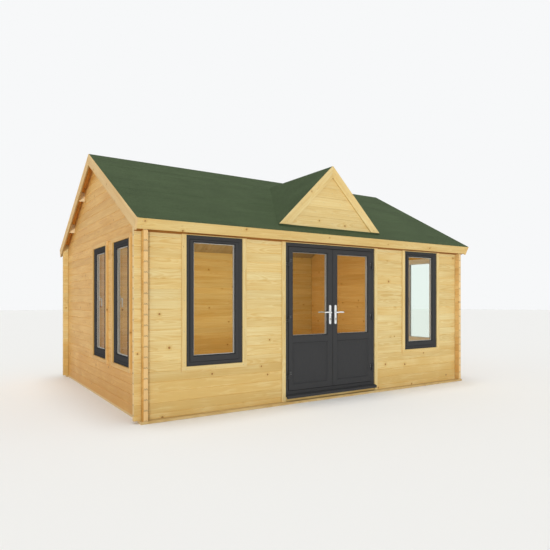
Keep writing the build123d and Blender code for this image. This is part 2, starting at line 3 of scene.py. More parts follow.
import bmesh
import bpy
import numpy as np
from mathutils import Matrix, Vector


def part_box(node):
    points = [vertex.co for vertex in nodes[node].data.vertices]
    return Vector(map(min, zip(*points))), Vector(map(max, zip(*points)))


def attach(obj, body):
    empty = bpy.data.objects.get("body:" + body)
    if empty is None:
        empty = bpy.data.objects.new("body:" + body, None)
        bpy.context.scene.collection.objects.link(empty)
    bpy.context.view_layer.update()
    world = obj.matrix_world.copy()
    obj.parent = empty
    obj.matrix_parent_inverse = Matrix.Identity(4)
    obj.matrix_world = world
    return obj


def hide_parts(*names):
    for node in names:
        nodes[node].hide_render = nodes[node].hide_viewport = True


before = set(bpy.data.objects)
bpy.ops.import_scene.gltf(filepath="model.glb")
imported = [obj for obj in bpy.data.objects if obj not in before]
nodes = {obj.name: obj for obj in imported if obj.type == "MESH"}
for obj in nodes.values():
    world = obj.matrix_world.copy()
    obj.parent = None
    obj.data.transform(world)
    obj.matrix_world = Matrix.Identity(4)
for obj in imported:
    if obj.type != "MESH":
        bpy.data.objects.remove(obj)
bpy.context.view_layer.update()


# Studio: a pale floor under soft white light, none of it part of the cabin. The camera stands where
# the photograph was taken from, at window height off the left-hand front corner.

def linear(code):
    """An sRGB hex colour as linear red, green, blue and alpha."""
    share = np.array([int(code[i:i + 2], 16) for i in (0, 2, 4)]) / 255
    curve = np.where(share <= 0.04045, share / 12.92, ((share + 0.055) / 1.055) ** 2.4)
    return (*curve, 1.0)


def add_node(tree, kind, *values, at=None, out=0, **words):
    """Adds a node to a tree and gives one output. The kind may end in .OPERATION. Values go to the
    inputs in order, at gives inputs by number, a word with a capital names an input, with _ for a
    space, and any other word is a setting. A socket is linked, and anything else is set."""
    kind, _, operation = kind.partition(".")
    made = tree.nodes.new("ShaderNode" + kind)
    if operation:
        made.operation = operation
    inputs = {**dict(enumerate(values)), **(at or {})}
    for key, value in words.items():
        if key[0].isupper():
            inputs[key.replace("_", " ")] = value
        else:
            setattr(made, key, value)
    for key, value in inputs.items():
        if isinstance(value, bpy.types.NodeSocket):
            tree.links.new(value, made.inputs[key])
        else:
            made.inputs[key].default_value = value
    return made.outputs[out] if made.outputs else made


def material(name):
    """An empty node material, and the function that adds a node to it."""
    made = bpy.data.materials.new(name)
    made.use_nodes = True
    made.node_tree.nodes.clear()
    return made, partial(add_node, made.node_tree)


def shape(name, points, faces, finish, smooth=False):
    """A mesh object from points and blocks of faces, each an array of point numbers, faces turned out."""
    mesh = bpy.data.meshes.new(name)
    faces = [face for block in faces for face in block.tolist()]
    mesh.from_pydata(np.asarray(points, float).reshape(-1, 3), [], faces)
    shell = bmesh.new()
    shell.from_mesh(mesh)
    bmesh.ops.recalc_face_normals(shell, faces=shell.faces)
    shell.to_mesh(mesh)
    shell.free()
    if smooth:
        mesh.shade_smooth()
    mesh.materials.append(finish)
    made = bpy.data.objects.new(name, mesh)
    bpy.context.scene.collection.objects.link(made)
    return made


def circle(sides):
    """The cosines and sines of equal steps once round."""
    angle = np.linspace(0, 2 * np.pi, sides, endpoint=False)
    return np.cos(angle), np.sin(angle)


# Matt white floor paint gives the eye an even pale ground that takes soft shadows
FLOOR_RADIUS, FLOOR_SIDES, FLOOR_DROP = 60.0, 96, 0.0005
floor_paint, add = material("matt_studio_floor")
add("OutputMaterial", add("BsdfDiffuse", linear("F1F1EF")))
east, north = circle(FLOOR_SIDES)
rim = np.stack([FLOOR_RADIUS * east, FLOOR_RADIUS * north, 0 * east - FLOOR_DROP], axis=1)
shape("studio_floor", rim, [np.arange(FLOOR_SIDES)[None]], floor_paint)

SKY_STRENGTH, SKY_SEEN = 0.5, "F7F8F9"
world = bpy.data.worlds.new("studio_light")
world.use_nodes = True
world.node_tree.nodes.clear()
add = partial(add_node, world.node_tree)
light = add("Background", linear("FFFFFF"), SKY_STRENGTH)
seen = add("Background", linear(SKY_SEEN), 1.0)
shown = add("LightPath", out="Is Camera Ray")
for ray in ("Is Glossy Ray", "Is Transmission Ray"):
    shown = add("Math.MAXIMUM", shown, add("LightPath", out=ray))
add("OutputWorld", add("MixShader", shown, light, seen))
bpy.context.scene.world = world


def lamp(name, kind, strength, place=(0, 0, 0), turned=(0, 0, 0), **settings):
    """A lamp of the studio, turned by degrees about X, Y and Z. It isn't seen itself."""
    data = bpy.data.lights.new(name, kind)
    data.energy = strength
    for key, value in settings.items():
        setattr(data, key, value)
    made = bpy.data.objects.new(name, data)
    made.location = place
    made.rotation_euler = np.radians(turned)
    made.visible_camera = made.visible_glossy = made.visible_transmission = False
    bpy.context.scene.collection.objects.link(made)


# The lamp in the room stands for the light that its walls give back
lamp("overhead_light", "SUN", 1.5, angle=np.radians(25))
lamp("front_light", "SUN", 1.6, turned=(88, 0, -30), angle=np.radians(10))
lamp("room_light", "POINT", 75.0, place=(0.0, 0.0, 1.3), shadow_soft_size=0.5, color=linear("FFEFCF")[:3])

PHOTO_SIDE = 550
FOCAL_PIXELS = 515.88
CENTRE_PIXEL = (306.37, 299.32)
CAMERA_PLACE = (-4.0268, -7.1311, 1.2463)
CAMERA_YAW = 34.849
SENSOR = 36.0
camera = bpy.data.cameras.new("photo_camera")
camera.sensor_width = SENSOR
camera.lens = FOCAL_PIXELS * SENSOR / PHOTO_SIDE
camera.shift_x = (PHOTO_SIDE / 2 - CENTRE_PIXEL[0]) / PHOTO_SIDE
camera.shift_y = (CENTRE_PIXEL[1] - PHOTO_SIDE / 2) / PHOTO_SIDE
camera_object = bpy.data.objects.new("photo_camera", camera)
camera_object.location = CAMERA_PLACE
camera_object.rotation_euler = (np.pi / 2, 0.0, -np.radians(CAMERA_YAW))
bpy.context.scene.collection.objects.link(camera_object)
bpy.context.scene.camera = camera_object
bpy.context.scene.view_settings.view_transform = "Standard"


# Log walls: planed logs of slow-grown spruce, 44 mm thick, tongued and grooved one on the other and
# notched over each other at the corners. They are the model's own solids, in a timber worked out in
# depth, so that a log's face, its edges and its end all show the same growth rings.

LOG_PITCH, TONGUE_HEIGHT, TONGUE_OFF_CENTRE, TONGUE_HALF = 0.1064, 0.008, 0.008, 0.004
FRONT_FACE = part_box("front_wall_left")[0].y
LEFT_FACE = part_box("left_gable_wall")[0].x
LOG_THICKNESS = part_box("left_gable_wall")[1].x - LEFT_FACE
# For walls along X and along Y: the outer face, that of the walls that cross it, and its first seam
WALL_LINES = ((FRONT_FACE, LEFT_FACE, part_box("front_sill_log")[1].z),
              (LEFT_FACE, FRONT_FACE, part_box("back_wall")[0].z + LOG_PITCH))
KNOT, SAWN_END = "98692F", "E4C48E"


def spruce(add, axes, board, end_grain, pale, ring, sawn_end, tint=None, shade=None):
    """Planed spruce, or whitewood, under a clear satin preservative. What the eye gets is pale straw
    timber with broad figure along the board, small brown knots with the grain parting round them, a
    tone that changes a little from board to board, and plainer, sawn end grain.

    axes are the board's own directions, along, across and through it in metres; board is its number.
    A growth ring is a shell at one distance from the heart of the tree, which lies behind the board
    and wanders slowly, so a ring shows where that distance is a whole number of ring spacings. tint
    is added to the share of the ring colour, and shade multiplies the whole tone."""
    along, across, depth = axes
    # Real rings are 1 to 3 mm apart; 6.5 mm still shows in a view of the whole cabin
    ring_every, knot_every, knotty = 0.0065, 0.34, 0.42
    metres_apart, cells_apart = 37.0, 5.3
    soft = {"interpolation_type": "SMOOTHSTEP"}
    luck = add("TexWhiteNoise", W=board, noise_dimensions="1D", out="Color")
    luck_a, luck_b, luck_c = add("SeparateXYZ", luck).node.outputs
    far = add("Math.MULTIPLY_ADD", luck_a, metres_apart, along)
    place = add("CombineXYZ", far, across, depth)

    # A knot is a round spot at a cell's point, 7 to 15 mm in radius, and four cells in ten have one
    knot_u = add("Math.MULTIPLY", far, 1 / knot_every)
    knot_v = add("Math.MULTIPLY", board, cells_apart)
    knot_v = add("Math.MULTIPLY_ADD", across, 1 / knot_every, knot_v)
    cells = add("CombineXYZ", knot_u, knot_v)
    cells = add("TexVoronoi", cells, Scale=1.0, voronoi_dimensions="2D").node.outputs
    size, chance, _ = add("SeparateColor", cells["Color"]).node.outputs
    size = add("MapRange", size, 0.0, 1.0, 0.007, 0.015)
    size = add("Math.MULTIPLY", size, add("Math.LESS_THAN", chance, knotty))
    ratio = add("Math.MULTIPLY", cells["Distance"], knot_every)
    ratio = add("Math.DIVIDE", ratio, add("Math.MAXIMUM", size, 0.0001))
    in_knot = add("MapRange", ratio, 1.1, 0.75, 0.0, 1.0, **soft)
    near_knot = add("MapRange", ratio, 3.6, 0.6, 0.0, 1.0, **soft)

    # Distance from the wandering heart, pushed outwards round a knot
    drift = add("TexNoise", W=far, Scale=1.1, Detail=1.0, noise_dimensions="1D", out="Color")
    drift = add("VectorMath.SUBTRACT", drift, (0.5, 0.5, 0.5))
    drift = add("VectorMath.MULTIPLY", drift, (0.0, 0.10, 0.05))
    heart = add("CombineXYZ", 0.0, add("MapRange", luck_b, 0.0, 1.0, -0.02, 0.12),
                add("MapRange", luck_c, 0.0, 1.0, 0.05, 0.11))
    shell = add("VectorMath.SUBTRACT", add("CombineXYZ", 0.0, across, depth), heart)
    shell = add("VectorMath.LENGTH", add("VectorMath.ADD", shell, drift), out="Value")
    wave = add("TexNoise", add("VectorMath.MULTIPLY", place, (2.2, 14.0, 14.0)), Scale=1.0, Detail=2.0)
    for push, by in ((wave, 0.012), (near_knot, 0.014)):
        shell = add("Math.MULTIPLY_ADD", push, by, shell)
    years = add("Math.MULTIPLY", shell, 1 / ring_every)
    share = add("Math.FRACT", years)
    late = add("MapRange", share, 0.15, 0.88, 0.0, 1.0, **soft)
    late = add("Math.MULTIPLY", late, add("MapRange", share, 1.0, 0.9, 0.0, 1.0))
    year = add("TexWhiteNoise", W=add("Math.FLOOR", years), noise_dimensions="1D")
    late = add("Math.MULTIPLY", late, add("MapRange", year, 0.0, 1.0, 0.35, 1.0))

    # Clouds some 100 mm wide, soft streaks of 12 mm and fibre under 2 mm, drawn out along the board
    cloud, streak, fibre = [
        add("TexNoise", add("VectorMath.MULTIPLY", place, stretch), Scale=1.0, Detail=detail)
        for stretch, detail in (((1.3, 9.0, 9.0), 1.0), ((1.6, 80.0, 80.0), 3.0), ((12.0, 600.0, 600.0), 2.0))
    ]
    # The share of the ring colour starts from a half, and stays between none and all
    amount = add("MapRange", streak, 0.3, 0.7, -0.13, 0.19)
    for mark, by in ((late, 0.33), (near_knot, 0.3)):
        amount = add("Math.MULTIPLY_ADD", mark, by, amount)
    clouds = add("MapRange", cloud, 0.3, 0.7, -0.12, 0.17)
    from_board = add("MapRange", luck_b, 0.0, 1.0, -0.05, 0.16)
    for part in (clouds, from_board, tint):
        if part is not None:
            amount = add("Math.ADD", amount, part)
    amount = add("Math.ADD", amount, 0.5, use_clamp=True)
    # The saw leaves the end grain one fuzzy tone, with the rings faint in it
    sawn = add("Math.MULTIPLY", end_grain, 0.6)
    colour = linear(pale)
    for cover, code in ((amount, ring), (in_knot, KNOT), (sawn, sawn_end)):
        colour = add("Mix", cover, at={6: colour, 7: linear(code)}, data_type="RGBA", out=2)
    tone = add("MapRange", luck_a, 0.0, 1.0, 0.94, 1.04)
    tone = add("Math.MULTIPLY", tone, add("MapRange", fibre, 0.3, 0.7, 0.975, 1.025))
    if shade is not None:
        tone = add("Math.MULTIPLY", tone, shade)
    colour = add("VectorMath.SCALE", colour, Scale=tone)
    height = add("Math.MULTIPLY_ADD", late, 0.5, fibre)
    height = add("Math.MULTIPLY_ADD", in_knot, -0.6, height)
    relief = add("Bump", Strength=0.35, Distance=0.0005, Height=height)
    rough = add("MapRange", late, 0.0, 1.0, 0.62, 0.5)
    add("OutputMaterial", add("BsdfPrincipled", colour, Roughness=rough, Normal=relief))


def solid_spot(add, lengthwise):
    """Where a point of a solid lies and which way it faces, each along X, Y and Z, and whether it is
    end grain, which faces along the timber."""
    where, facing = [
        add("SeparateXYZ", add("TexCoord", out=word)).node.outputs for word in ("Object", "Normal")
    ]
    return where, facing, add("Math.GREATER_THAN", add("Math.ABSOLUTE", facing[lengthwise]), 0.9)


def log_timber(wall, lengthwise, inward, number, pale, ring):
    """The timber of a wall whose logs run along X (lengthwise 0) or Y (1), and whose room lies towards
    inward, 1 or -1. A log's number is the whole part of (height - first seam - tongue step) / log
    pitch, where the step is there over two tongues in the thickness, so that the joint's outline
    shows on the log ends."""
    made, add = material("planed_spruce_" + wall)
    where, facing, end_grain = solid_spot(add, lengthwise)
    face, crossing, first_seam = WALL_LINES[lengthwise]
    depth = add("Math.ADD", where[1 - lengthwise], -inward * face)
    depth = add("Math.MULTIPLY", depth, inward)
    off_centre = add("Math.ABSOLUTE", add("Math.ADD", depth, -LOG_THICKNESS / 2))
    tongue = add("Math.COMPARE", off_centre, TONGUE_OFF_CENTRE, TONGUE_HALF)
    height = add("Math.MULTIPLY_ADD", tongue, -TONGUE_HEIGHT, where[2])
    height = add("Math.ADD", height, -first_seam)
    courses = add("Math.MULTIPLY", height, 1 / LOG_PITCH)
    log = add("Math.FLOOR", courses)
    across = add("Math.MULTIPLY", add("Math.FRACT", courses), LOG_PITCH)
    off_joint = add("Math.MINIMUM", across, add("Math.SUBTRACT", LOG_PITCH, across))
    board = add("Math.ADD", log, number)
    if wall == "front":
        # Beside the doorway, from log 0 to log 16, the logs left and right of it are separate ones
        middle_log, reach, other_logs = 8.0, 8.2, 40.0
        beside = add("Math.COMPARE", log, middle_log, reach)
        beside = add("Math.MULTIPLY", beside, add("Math.GREATER_THAN", where[0], 0.0))
        board = add("Math.MULTIPLY_ADD", beside, other_logs, board)
    # The joint is a fine dark line on a face, with painted light on the V beside it that makes its sloping
    # faces paler against their shade, and an open notch of up to 6 mm on the log ends
    face_joint_painted_light_and_shade = add("MapRange", off_joint, 0.0003, 0.0010, 0.92, 1.0)
    painted_groove_light = add("MapRange", add("Math.ABSOLUTE", facing[2]), 0.3, 0.6, 1.0, 1.10)
    face_joint_painted_light_and_shade = add("Math.MULTIPLY", face_joint_painted_light_and_shade, painted_groove_light)
    end_line = add("MapRange", off_joint, 0.0015, 0.0065, 0.36, 1.0)
    # Where a log passes over a crossing one, its notch leaves a gap 2 mm wide, and the face is darkened in a
    # line 5 mm wide there: painted shade for that gap
    off_outer = add("Math.ADD", add("Math.ABSOLUTE", where[lengthwise]), crossing)
    off_inner = add("Math.ADD", off_outer, LOG_THICKNESS)
    off_notch = add("Math.MINIMUM", add("Math.ABSOLUTE", off_inner), add("Math.ABSOLUTE", off_outer))
    painted_notch_shade = add("MapRange", off_notch, 0.0015, 0.0060, 0.6, 1.0)
    face_joint_painted_light_and_shade = add("Math.MULTIPLY", face_joint_painted_light_and_shade, painted_notch_shade)
    shade = add("Mix", end_grain, at={2: face_joint_painted_light_and_shade, 3: end_line})
    # Rain splashes up from the ground, and the lowest logs are browner for it in patches
    splash = add("TexNoise", add("TexCoord", out="Object"), Scale=2.6, Detail=3.0)
    splash = add("MapRange", splash, 0.35, 0.65, 0.2, 1.0)
    splash = add("Math.MULTIPLY", splash, add("MapRange", where[2], 0.1, 0.75, 0.5, 0.0))
    spruce(add, (where[lengthwise], across, depth), board, end_grain, pale, ring, SAWN_END, splash, shade)
    return made


def coat(finish, *names):
    """Puts a finish on solids of the model that stay as they are."""
    for name in names:
        nodes[name].data.materials.clear()
        nodes[name].data.materials.append(finish)


# The gables take more orange copies of the spruce than the front and back walls: painted shade, for the warm
# light on a shaded side
coat(log_timber("front", 0, 1.0, 1.0, "EEE3AE", "D2B06A"),
     "front_sill_log", "front_wall_left", "front_wall_right", "front_wall_over_door")
coat(log_timber("back", 0, -1.0, 101.0, "ECDFA8", "CFAC66"), "back_wall")
coat(log_timber("left", 1, 1.0, 201.0, "EECB82", "CB9648"), "left_gable_wall")
coat(log_timber("right", 1, -1.0, 301.0, "F0D69A", "D5A863"), "right_gable_wall")


# Base frame and roof beams: sawn spruce bearers flat on the ground, a ridge beam and four purlins in
# notches in the gables. Each is one length of timber, which keeps its own solid.

def beam_timber(name, lengthwise, number, spacing, pale, ring, sawn_end=SAWN_END, painted_light_past=None):
    """Spruce for solid beams that run along X (lengthwise 0) or Y (1), a number to each by its place.
    The last argument is how far from the middle the beams' outdoor ends begin; there the beams take the
    near-white end colour, painted light for ends that lie in the verges' shade."""
    made, add = material(name)
    where, _, end_grain = solid_spot(add, lengthwise)
    beside = where[1 - lengthwise]
    rank = add("Math.FLOOR", add("Math.MULTIPLY_ADD", beside, 1 / spacing, 0.5))
    board = add("Math.ADD", rank, number)
    if painted_light_past is not None:
        painted_light_ends = add("Math.GREATER_THAN", add("Math.ABSOLUTE", where[lengthwise]), painted_light_past)
        end_grain = add("Math.MAXIMUM", painted_light_ends, end_grain)
    spruce(add, (where[lengthwise], where[2], beside), board, end_grain, pale, ring, sawn_end)
    return made


# The near-white colour of the beams' outdoor ends is painted light, for ends that lie in the verges' shade
BEARERS_EVERY, PURLINS_EVERY, PAINTED_LIGHT_END = 0.5, 0.705, "FFF2CC"
coat(beam_timber("sawn_spruce_bearers", 0, 420.0, BEARERS_EVERY, "DCC794", "BB9655"), "base_frame")
coat(beam_timber("planed_spruce_beams", 0, 440.0, PURLINS_EVERY, "EAC684", "C79650", PAINTED_LIGHT_END, -LEFT_FACE),
     "ridge_beam", "purlins")


# Floor: spruce boards 19 mm thick, tongued and grooved and laid along the cabin on the joists, with a
# small V where two boards meet.

def board_timber(name, pale, ring, underside=1.0):
    """Spruce for pieces made of boards, each with its own directions and number in the mesh. Faces that
    look down are browner and darker, down to the share underside of the tone: painted shade."""
    made, add = material(name)
    axes = add("SeparateXYZ", add("Attribute", out="Vector", attribute_name="grain")).node.outputs
    board, end_grain = [add("Attribute", out="Fac", attribute_name=word) for word in ("board", "end")]
    up = add("SeparateXYZ", add("TexCoord", out="Normal")).node.outputs[2]
    painted_underside_shade = add("MapRange", up, -0.4, -0.7, 0.0, 1.0 - underside)
    shade = add("Math.SUBTRACT", 1.0, painted_underside_shade)
    spruce(add, tuple(axes), board, end_grain, pale, ring, SAWN_END, painted_underside_shade, shade)
    return made


def tube_faces(rings, sides, copies=1):
    """Faces of closed tubes whose points are stored ring after ring: four-sided ones from each ring to
    the next, then a cap on the first ring and one on the last."""
    spot = np.arange(sides)
    after = (spot + 1) % sides
    ring = sides * np.arange(rings - 1)[:, None]
    walls = np.stack([ring + spot, ring + after, ring + after + sides, ring + spot + sides], axis=-1)
    caps = np.stack([spot[::-1], spot + sides * (rings - 1)])
    first = rings * sides * np.arange(copies)[:, None, None]
    return [(first + walls.reshape(-1, 4)).reshape(-1, 4), (first + caps).reshape(-1, sides)]


def place(piece, body, slot, *replaced):
    """A finished piece rides on its body and stands for its solids. slot is not used."""
    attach(piece, body)
    if replaced:
        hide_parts(*replaced)
    return piece


def boards(name, rows, arris, number, finish, slot, *replaced):
    """Sawn boards as one piece of the cabin. A row is start, run, up, width, thickness and two end
    cuts. A board is a rectangle with its corners planed off by the front and back arris, carried
    along its run, and

        point = start + along * run + across * up + through * (run x up)

    where along goes from one cut to the other, and a cut is place + slope * across + slope * through."""
    starts, runs, ups, wide, thick = [np.array([row[i] for row in rows], float) for i in range(5)]
    wide, thick = wide[:, None], thick[:, None]
    first, by_across, by_through = np.moveaxis(np.array([row[5:] for row in rows], float), 2, 0)[..., None]
    front, back = arris
    none = 0 * wide
    across = np.hstack([none + front, wide - front, wide, wide, wide - back, none + back, none, none])
    through = np.hstack([none, none, none + front, thick - back, thick, thick, thick - back, none + front])
    across, through = [np.repeat(part[:, None], 2, axis=1) for part in (across, through)]
    along = first + by_across * across + by_through * through
    grain = np.stack([along, across, through], axis=-1)
    axes = np.stack([runs, ups, np.cross(runs, ups)], axis=1)
    points = starts[:, None, None] + np.einsum("nijk,nkl->nijl", grain, axes)
    corners = across.shape[-1]
    sides, ends = tube_faces(2, corners, len(rows))
    made = shape(name, points, [sides, ends], finish)
    add_attribute = made.data.attributes.new
    add_attribute("grain", "FLOAT_VECTOR", "POINT").data.foreach_set("vector", grain.ravel())
    numbers = np.repeat(number + np.arange(len(rows), dtype=float), 2 * corners)
    add_attribute("board", "FLOAT", "POINT").data.foreach_set("value", numbers)
    is_end = np.concatenate([np.zeros(len(sides)), np.ones(len(ends))])
    add_attribute("end", "FLOAT", "FACE").data.foreach_set("value", is_end)
    return place(made, "cabin", slot, *replaced)


ALONG_X, UP_Z, SQUARE = (1, 0, 0), (0, 0, 1), (0, 0, 0)
FLOOR_ROWS, BOARD_GAP, FLOOR_ARRIS = 43, 0.0003, (0.0015, 0.0003)
floor_low, floor_high = [np.array(corner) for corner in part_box("floor_boards")]
floor_span, floor_depth, floor_thick = floor_high - floor_low
floor_step = floor_depth / FLOOR_ROWS
rows = [
    ((floor_low[0], floor_low[1] + floor_step * (i + 1) - BOARD_GAP, floor_high[2]), ALONG_X, (0, -1, 0),
     floor_step - 2 * BOARD_GAP, floor_thick, SQUARE, (floor_span, 0, 0))
    for i in range(FLOOR_ROWS)
]
floor_timber = board_timber("planed_spruce_floor", "D9B982", "AF8147")
boards("floor_laid", rows, FLOOR_ARRIS, 500.0, floor_timber, "floor_timber", "floor_boards")


# Roof boards: spruce matchboard 19 mm thick, nailed up the slope from the eaves to the ridge on the
# purlins. Their V joints show on the ceiling. The ceiling's boards are a greyer copy of the spruce,
# painted shade, and the first and last board, the verges' soffit, a brighter, more orange copy,
# painted light for the warm light under the verges.

PITCH = np.radians(27.76)
UP, RISE = np.array([np.cos(PITCH), np.sin(PITCH)]), np.tan(PITCH)
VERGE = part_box("front_roof_boards")[1].x
EAVE = -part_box("front_fascia")[0].y
FELT, ROOF_BOARD, ROOF_ROWS, FASCIA_THICK = 0.004, 0.019, 56, 0.020
CEILING_ARRIS, VERGE_NUMBERS = (0.0003, 0.003), 60
FELT_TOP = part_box("ridge_beam")[1].z + (FELT + ROOF_BOARD) / UP[0]


def slope(side):
    """For the front slope (side 1) or the back one (-1): the direction up it, the direction square
    down into it, and the corner of its felt at the eave where a run along it starts."""
    corner = np.array((-side * VERGE, -side * EAVE, FELT_TOP - EAVE * RISE))
    return np.array((0, side * UP[0], UP[1])), np.array((0, side * UP[1], -UP[0])), corner


roof_step = 2 * VERGE / ROOF_ROWS
boards_top = FELT_TOP - FELT / UP[0]
slope_length = (EAVE - FASCIA_THICK * UP[0] - FELT * UP[1]) / UP[0]
ceiling_timber = board_timber("planed_spruce_roof", "C4B698", "9A8A68")
verge_soffit_painted_light = board_timber("painted_light_spruce_soffit", "F4B648", "DC8A20")
for side, name, number in ((1, "front", 600.0), (-1, "back", 700.0)):
    rows = [
        ((side * (-VERGE + roof_step * i + BOARD_GAP), 0, boards_top), slope(side)[0], (side, 0, 0),
         roof_step - 2 * BOARD_GAP, ROOF_BOARD, (-slope_length, 0, 0), (0, 0, -RISE))
        for i in range(ROOF_ROWS)
    ]
    boards(name + "_roof_matchboard", rows[1:-1], CEILING_ARRIS, number, ceiling_timber,
           "roof_timber", name + "_roof_boards")
    boards(name + "_verge_soffits", [rows[0], rows[-1]], CEILING_ARRIS, number + VERGE_NUMBERS,
           verge_soffit_painted_light, "roof_timber")


# Roof felt: bitumen felt with a green slate granule face, laid along the roof in sheets that lap over
# the one below, so that a step shows at each lower edge, and a capping sheet folded over the ridge.
# The lowest sheet is turned down over the fascias.

# Granule-faced bitumen felt gives the eye a dull dark green, matt, with paler and darker grains and
# faint clouding where granules lie thicker. Grains are 1 mm; drawn 3 mm so that they show.
GRAIN = 0.003
felt, add = material("slate_granule_felt")
spot = add("TexCoord", out="Object")
grain = add("TexVoronoi", spot, Scale=1 / GRAIN).node.outputs
shade = add("SeparateColor", grain["Color"]).node.outputs[0]
cloud = add("TexNoise", spot, Scale=2.2, Detail=5.0, Roughness=0.6)
streak = add("TexNoise", add("VectorMath.MULTIPLY", spot, (1.2, 7.0, 7.0)), Scale=1.0, Detail=3.0)
colour = add("Mix", shade, at={6: linear("303C26"), 7: linear("505F43")}, data_type="RGBA", out=2)
tone = add("MapRange", streak, 0.3, 0.7, 0.93, 1.07)
tone = add("Math.MULTIPLY", add("MapRange", cloud, 0.3, 0.7, 0.9, 1.1), tone)
colour = add("VectorMath.SCALE", colour, Scale=tone)
height = add("Math.MULTIPLY_ADD", cloud, 6.0, grain["Distance"])
relief = add("Bump", Strength=0.5, Distance=0.0012, Height=height)
add("OutputMaterial", add("BsdfPrincipled", colour, Roughness=0.95, Specular_IOR_Level=0.2, Normal=relief))
coat(felt, "front_roof_felt", "back_roof_felt", "dormer_felt")

# A sheet's lower and upper edge, measured down the slope from the ridge
SHEETS = ((1.39, 0.47), (0.44, 0.0), (0.15, 0.0))
SHEET_LIFT, SHEET_THICK, FELT_ARRIS = 0.0010, 0.003, (0.0005, 0.0002)
TURNED_FELT, FELT_TURN, FELT_ON_BARGE = 0.0011, 0.0045, 0.013
for side, name in ((1, "front"), (-1, "back")):
    upslope, down, corner = slope(side)
    rows = []
    for low, high in SHEETS:
        # A sheet is a thin wedge on the felt: proud of it at its lower edge and level with it above
        run = upslope + down * SHEET_LIFT / (low - high)
        start = np.array((-side * VERGE, 0, FELT_TOP)) - high * upslope
        rows.append((start, run / np.linalg.norm(run), (side, 0, 0), 2 * VERGE, SHEET_THICK,
                     (high - low, 0, 0), SQUARE))
    # The strip turned down over the fascia's face, and the felt on top of the fascia
    under = corner + down * TURNED_FELT
    for origin, across, wide in ((corner, down, FELT_TURN), (under, upslope, FASCIA_THICK)):
        rows.append((origin, (side, 0, 0), across, wide, TURNED_FELT, SQUARE, (2 * VERGE, 0, 0)))
    # The felt that laps on the top edges of the barge boards
    for x in (-VERGE, VERGE + FELT_ON_BARGE):
        rows.append(((side * x, 0, FELT_TOP), -upslope, (-side, 0, 0), FELT_ON_BARGE, TURNED_FELT,
                     (0, 0, RISE), (EAVE / UP[0], 0, 0)))
    boards(name + "_felt_laps", rows, FELT_ARRIS, 0.0, felt, "green_felt")


# Fascias and barge boards: planed spruce boards, 19 mm thick with eased edges, nailed over the ends
# of the roof boards along the eaves and up the verges, where they meet in a plumb joint at the ridge.
# A thin soffit board closes the eave behind each fascia, between the log ends; its dark colour is painted
# shade, for the shadow under the eave.

def turned_work(centres, out, profile, sides):
    """Turned work: at each centre, a profile of (radius, height) points is carried once round the
    direction out."""
    out = np.array(out, float)
    side = np.array((0.0, 0.0, 1.0)) if abs(out[2]) < 0.9 else np.array((1.0, 0.0, 0.0))
    radius, height = np.array(profile, float).T[:, :, None, None]
    east, north = circle(sides)
    ring = np.outer(east, side) + np.outer(north, np.cross(out, side))
    points = np.array(centres, float)[:, None, None] + radius * ring + height * out
    return points.reshape(-1, 3), tube_faces(len(profile), sides, len(centres))


def head(radius, proud):
    """The profile of a nail or screw head, sunk a little and domed by a smaller raised ring."""
    return (radius, -proud), (radius, proud * 0.4), (radius * 0.6, proud)


NAIL_RADIUS, NAIL_PROUD, NAIL_SIDES, NAIL_FROM_END = 0.0035, 0.0005, 8, 0.045


def nailed(name, rows, out, every, lines=(0.5,)):
    """Nail heads in the boards of the rows that face the direction out: on each line, a share of the
    board's width, they stand at equal steps of about every from one end of the board to the other."""
    spots = []
    for start, run, up, wide, thick, *cuts in rows:
        start, run, up = np.array((start, run, up), float)
        inward = np.cross(run, up)
        face = thick if np.dot(inward, out) > 0 else 0.0
        for line in lines:
            across = line * wide
            first, last = np.array(cuts, float) @ (1, across, face) + (NAIL_FROM_END, -NAIL_FROM_END)
            steps = np.linspace(first, last, max(2, int(round((last - first) / every)) + 1))
            spots.append(start + steps[:, None] * run + across * up + face * inward)
    heads = turned_work(np.concatenate(spots), out, head(NAIL_RADIUS, NAIL_PROUD), NAIL_SIDES)
    return place(shape(name, *heads, nail_steel), "cabin", "hinge_metal")


def moulded(name, colour, rough, mottle=0.04, **sockets):
    """A plain moulded, extruded or coated surface. The eye gets its one colour, with the slight
    unevenness of handling: tone and gloss drift by a few hundredths over patches of 20 mm."""
    patch, drift = 0.02, 0.05
    made, add = material(name)
    cloud = add("TexNoise", add("TexCoord", out="Object"), Scale=1 / patch, Detail=3.0)
    tone = add("MapRange", cloud, 0.3, 0.7, 1 - mottle, 1 + mottle)
    shade = add("VectorMath.SCALE", linear(colour)[:3], Scale=tone)
    gloss = add("MapRange", cloud, 0.3, 0.7, rough - drift, rough + drift)
    add("OutputMaterial", add("BsdfPrincipled", shade, Roughness=gloss, **sockets))
    return made


# Galvanised steel gives the eye dull grey nail heads. The spruce is one timber, paler or browner by how
# much weather and stain each board has had; the verge boards' downward faces are darker with painted
# shade, and the eave soffit's dark colour is painted shade.
nail_steel = moulded("galvanised_nail_steel", "9C9A92", 0.5, Metallic=1.0)
trim_timber = board_timber("planed_spruce_trim", "EEE2AE", "D3B16B")
eave_timber = board_timber("planed_spruce_fascia", "E4D49A", "CAA65F")
verge_timber = board_timber("planed_spruce_verge", "EBD098", "CCA05A", underside=0.65)
painted_shade_eave_timber = board_timber("painted_shade_eave_spruce", "A47118", "945407")
FASCIA_WIDE, BARGE_WIDE, BARGE_THICK, PLUMB_GAP, EASED = 0.118, 0.131, 0.019, 0.0005, (0.0015, 0.0015)
FASCIA_NAILS, FASCIA_NAIL_LINES, BARGE_NAILS, BARGE_NAIL_LINES = 0.55, (0.3, 0.75), 0.45, (0.2,)
SOFFIT_THICK, OVER_FRAMES, SOFFIT_ARRIS, SOFFIT_NUMBERS = 0.012, 0.0005, (0.0005, 0.0005), 12
soffit_at_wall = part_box("front_window_frames")[1].z + OVER_FRAMES
log_end, gable_out, gable_in = -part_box("front_wall_left")[0].x, -LEFT_FACE, -LEFT_FACE - LOG_THICKNESS
